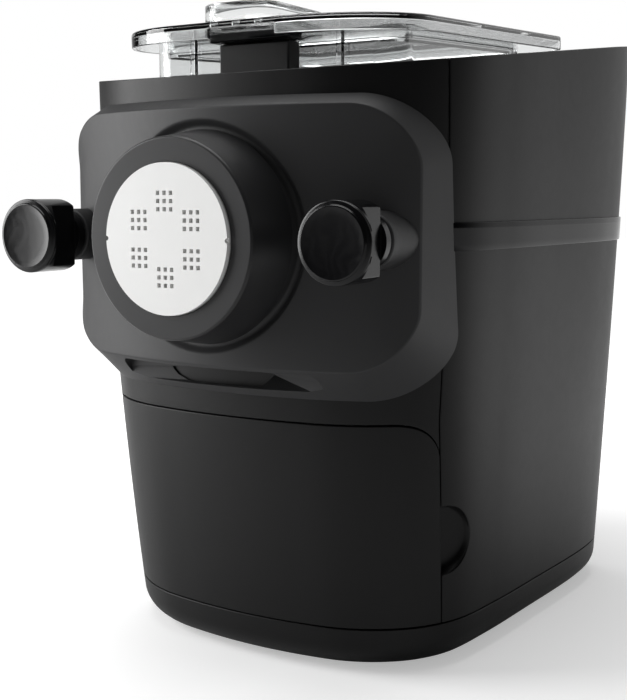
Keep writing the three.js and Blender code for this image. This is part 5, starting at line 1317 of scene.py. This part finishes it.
CONTROL_DEPTH = 286.0
BUTTON_PLACES = (18.0, 37.0, 56.0)
BUTTON_HOLE = 5.3
DISPLAY_LENGTH = 52.0
DISPLAY_HALF_WIDTH = 7.5
DISPLAY_DEPTH = 1.6
DISPLAY_GAP = 0.3
DECK_TURN = Matrix.Rotation(math.atan(RIM_SLOPE), 4, "X")


def on_deck(x, along, lift):
    """Point on the control strip: along runs back, lift stands on the deck's top."""
    y = behind(CONTROL_DEPTH)
    return DECK_TURN @ Vector((x, along, lift)) + Vector((0, y, rim_height(y) - DECK_DROP))


def deck_box(x0, x1, y0, y1, z0, z1):
    points, faces = block_points(x0, x1, y0, y1, z0, z1)
    return [on_deck(*p) for p in points], faces


def control_strip():
    pane = deck_box(-DISPLAY_LENGTH, 0.0, -DISPLAY_HALF_WIDTH, DISPLAY_HALF_WIDTH, -DISPLAY_DEPTH, 0.0)
    window = piece("display_pane", *pane, DISPLAY_BLACK, "housing", "window", ["display_window"])
    edge_rounded(window, 0.4)
    profile = [(6.2, -4.7), (6.2, -3.3), (5.0, -3.3), (5.0, 0.4), (4.6, 0.85), (4.0, 1.0), (2.4, 0.85),
               (0.01, 0.75)]
    for number, x in enumerate(BUTTON_PLACES, 1):
        rings = lifted_rings(profile, 6, lambda across, along, lift: on_deck(x + across, along, lift))
        piece(f"push_button_{number}", *rings_mesh(rings, True, True), GLOSS_BLACK, f"button_{number}", "gloss",
              [f"button_{number}"])


def rear_fittings():
    x, z = ROCKER_PLACE
    cap = (x - ROCKER_CAP[0], x + ROCKER_CAP[0], behind(296), behind(302), z - ROCKER_CAP[1], z + ROCKER_CAP[1])
    soft_block("rocker_cap", cap, GLOSS_BLACK, "rocker", "gloss", ["mains_rocker"], 1.0)
    x, z = GLAND_PLACE
    turned("cable_gland", [
        (3.6, 289.0), (7.0, 289.0), (7.0, 296.4), (9.5, 296.4), (9.5, 299.0), (7.0, 299.0), (7.0, 301.4),
        (5.6, 302.4), (3.6, 302.4),
    ], x, z, BLACK_RUBBER, "housing", "rubber", ["cord_gland"], 0.3, 64)


FEET = [("front_left", -56, 108), ("front_right", 56, 108), ("rear_left", -56, 262), ("rear_right", 56, 262)]


def feet():
    profile = [(0.01, 0.0), (10.5, 0.0), (11.6, 0.35), (12.0, 1.0), (12.0, 1.7), (4.2, 1.7), (4.2, 5.0),
               (0.01, 5.0)]
    for word, x, depth in FEET:
        rings = lifted_rings(profile, 5, lambda across, along, lift:
                             Vector((x + across, behind(depth) + along, lift)))
        piece(f"foot_pad_{word}", *rings_mesh(rings, True, True), BLACK_RUBBER, "housing", "rubber",
              [f"foot_{word}"])


# CAD nodes that stay as they are, each with its own finish
NODE_FINISHES = {
    "drive_shaft": TURNED_STEEL, "motor_pinion": TURNED_STEEL, "motor_rotor": TURNED_STEEL,
    "load_cell_front_left": TURNED_STEEL, "load_cell_front_right": TURNED_STEEL,
    "load_cell_rear_left": TURNED_STEEL, "load_cell_rear_right": TURNED_STEEL,
    "gearbox_case": SHEET_STEEL, "gearbox_cover": SHEET_STEEL, "motor_can": SHEET_STEEL,
    "clamp_nut_left": YELLOW_BRASS, "clamp_nut_right": YELLOW_BRASS, "output_bearing": YELLOW_BRASS,
    "motor_stator": WOUND_COPPER, "control_board": CIRCUIT_BOARD, "power_board": CIRCUIT_BOARD,
    "output_gear": GEAR_WHITE, "slow_idler_gear": GEAR_WHITE, "fast_idler_gear": GEAR_WHITE,
    "mixing_paddle": DISC_WHITE, "spare_disc_flat": DISC_WHITE, "spare_disc_round": DISC_WHITE,
    "chassis": INNER_GREY, "drawer_tray": INNER_GREY, "drawer_runner_left": INNER_GREY,
    "drawer_runner_right": INNER_GREY, "cooling_fan": INNER_GREY,
    "tube_seal": BLACK_RUBBER, "shaft_seal": BLACK_RUBBER,
}


def finish_kept_nodes():
    for name, material in NODE_FINISHES.items():
        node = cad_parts[name]
        node.data.materials.clear()
        node.data.materials.append(material)


# Floor, light and camera; floor places are metres
FLOOR_SPAN = 6.0
FLOOR_GREY = 0.8
FLOOR_LIFT = 0.4
FLOOR_LIFT_FAR = 0.9
FLOOR_NEAR = 0.12
FLOOR_FAR = 0.7
FLOOR_REAR = 0.3
WORLD_STRENGTH = 0.22
ROOM_STRENGTH = 0.02
BACKDROP_STARTS = 0.2
BACKDROP_FULL = 1.1
# Name, place, aim, width and height, watts
LAMPS = [
    ("left_strip", (-920, -560, 470), (-30, -140, 200), (560, 940), 13.5),
    ("top_box", (-100, 0, 1150), (0, 0, 150), (800, 800), 7.0),
]


def studio():
    floor_mesh = bpy.data.meshes.new("studio_floor")
    corners = [(-FLOOR_SPAN, -FLOOR_SPAN, 0), (FLOOR_SPAN, -FLOOR_SPAN, 0), (FLOOR_SPAN, FLOOR_SPAN, 0),
               (-FLOOR_SPAN, FLOOR_SPAN, 0)]
    floor_mesh.from_pydata(corners, [], [(0, 1, 2, 3)])
    floor = linked("studio_floor", floor_mesh)
    floor_mesh.materials.append(floor_material())

    world = bpy.data.worlds.new("studio_world")
    bpy.context.scene.world = world
    world.use_nodes = True
    tree = world.node_tree
    background = tree.nodes["Background"]
    path = tree.nodes.new("ShaderNodeLightPath")
    seen = math_node(tree, "MAXIMUM", path.outputs["Is Camera Ray"], path.outputs["Is Transmission Ray"])
    mirrored = math_node(tree, "MULTIPLY", path.outputs["Is Glossy Ray"], backdrop_share(tree))
    shown = math_node(tree, "MAXIMUM", seen, mirrored)
    scattered = math_node(tree, "MULTIPLY", path.outputs["Is Diffuse Ray"], WORLD_STRENGTH)
    tree.links.new(math_node(tree, "MAXIMUM", shown, scattered), background.inputs["Strength"])
    background.inputs["Color"].default_value = (1, 1, 1, 1)
    for name, place, aim, size, power in LAMPS:
        soft_lamp(name, place, aim, size, power)


def backdrop_share(tree):
    """White backdrop behind the object, running out into the dim room in front of it."""
    place = tree.nodes.new("ShaderNodeTexCoord")
    parts = tree.nodes.new("ShaderNodeSeparateXYZ")
    tree.links.new(place.outputs["Generated"], parts.inputs["Vector"])
    return value_between(tree, parts.outputs["Y"], ROOM_STRENGTH, 1.0, (BACKDROP_STARTS, BACKDROP_FULL))


def soft_lamp(name, place, aim, size, power):
    lamp = bpy.data.lights.new(name, "AREA")
    lamp.shape = "RECTANGLE"
    lamp.size = size[0] * MM
    lamp.size_y = size[1] * MM
    lamp.energy = power
    obj = linked(name, lamp)
    obj.location = Vector(place) * MM
    obj.rotation_euler = (Vector(aim) - Vector(place)).to_track_quat("-Z", "Y").to_euler()


def floor_material():
    """Pale floor: white to the camera, with the soft shadow, and mirrored only behind the object."""
    material = bpy.data.materials.new("pale_floor")
    material.use_nodes = True
    tree = material.node_tree
    tree.nodes.clear()
    output = tree.nodes.new("ShaderNodeOutputMaterial")
    diffuse = set_node(tree, "ShaderNodeBsdfDiffuse", Color=(FLOOR_GREY, FLOOR_GREY, FLOOR_GREY, 1))
    glow = set_node(tree, "ShaderNodeEmission", Color=(1, 1, 1, 1))
    path = tree.nodes.new("ShaderNodeLightPath")
    looked = math_node(tree, "MAXIMUM", path.outputs["Is Camera Ray"], path.outputs["Is Transmission Ray"])
    place = tree.nodes.new("ShaderNodeTexCoord")
    axes = tree.nodes.new("ShaderNodeSeparateXYZ")
    tree.links.new(place.outputs["Object"], axes.inputs[0])
    rear = value_between(tree, axes.outputs["Y"], 0.0, 1.0, (0.0, FLOOR_REAR))
    mirrored = math_node(tree, "MULTIPLY", path.outputs["Is Glossy Ray"], rear)
    looked = math_node(tree, "MAXIMUM", looked, mirrored)
    far = tree.nodes.new("ShaderNodeVectorMath")
    far.operation = "LENGTH"
    tree.links.new(place.outputs["Object"], far.inputs[0])
    strength = value_between(tree, far.outputs["Value"], FLOOR_LIFT, FLOOR_LIFT_FAR, (FLOOR_NEAR, FLOOR_FAR))
    lift = math_node(tree, "MULTIPLY", looked, strength)
    tree.links.new(lift, glow.inputs["Strength"])
    both = tree.nodes.new("ShaderNodeAddShader")
    tree.links.new(diffuse.outputs[0], both.inputs[0])
    tree.links.new(glow.outputs[0], both.inputs[1])
    tree.links.new(both.outputs[0], output.inputs["Surface"])
    return material


def camera():
    view = bpy.data.cameras.new("photo_camera")
    view.lens = LENS_LENGTH
    view.sensor_width = SENSOR_LENGTH
    obj = linked("photo_camera", view)
    turn, dip = math.radians(CAMERA_TURN), math.radians(CAMERA_DIP)
    ahead = Vector((-math.sin(turn) * math.cos(dip), math.cos(turn) * math.cos(dip), -math.sin(dip)))
    obj.location = CAMERA_PLACE * MM
    obj.rotation_euler = ahead.to_track_quat("-Z", "Y").to_euler()
    bpy.context.scene.camera = obj


camera()
casing_front()
casing_rear()
casing_base()
trim_band()
front_module()
ring_and_tube()
shaping_disc()
clamping_knob(-1)
clamping_knob(1)
lid()
mixing_chamber()
lid_lock()
top_deck()
control_strip()
rear_fittings()
feet()
finish_kept_nodes()
studio()

bpy.context.scene.view_settings.view_transform = "Standard"
bpy.context.view_layer.update()
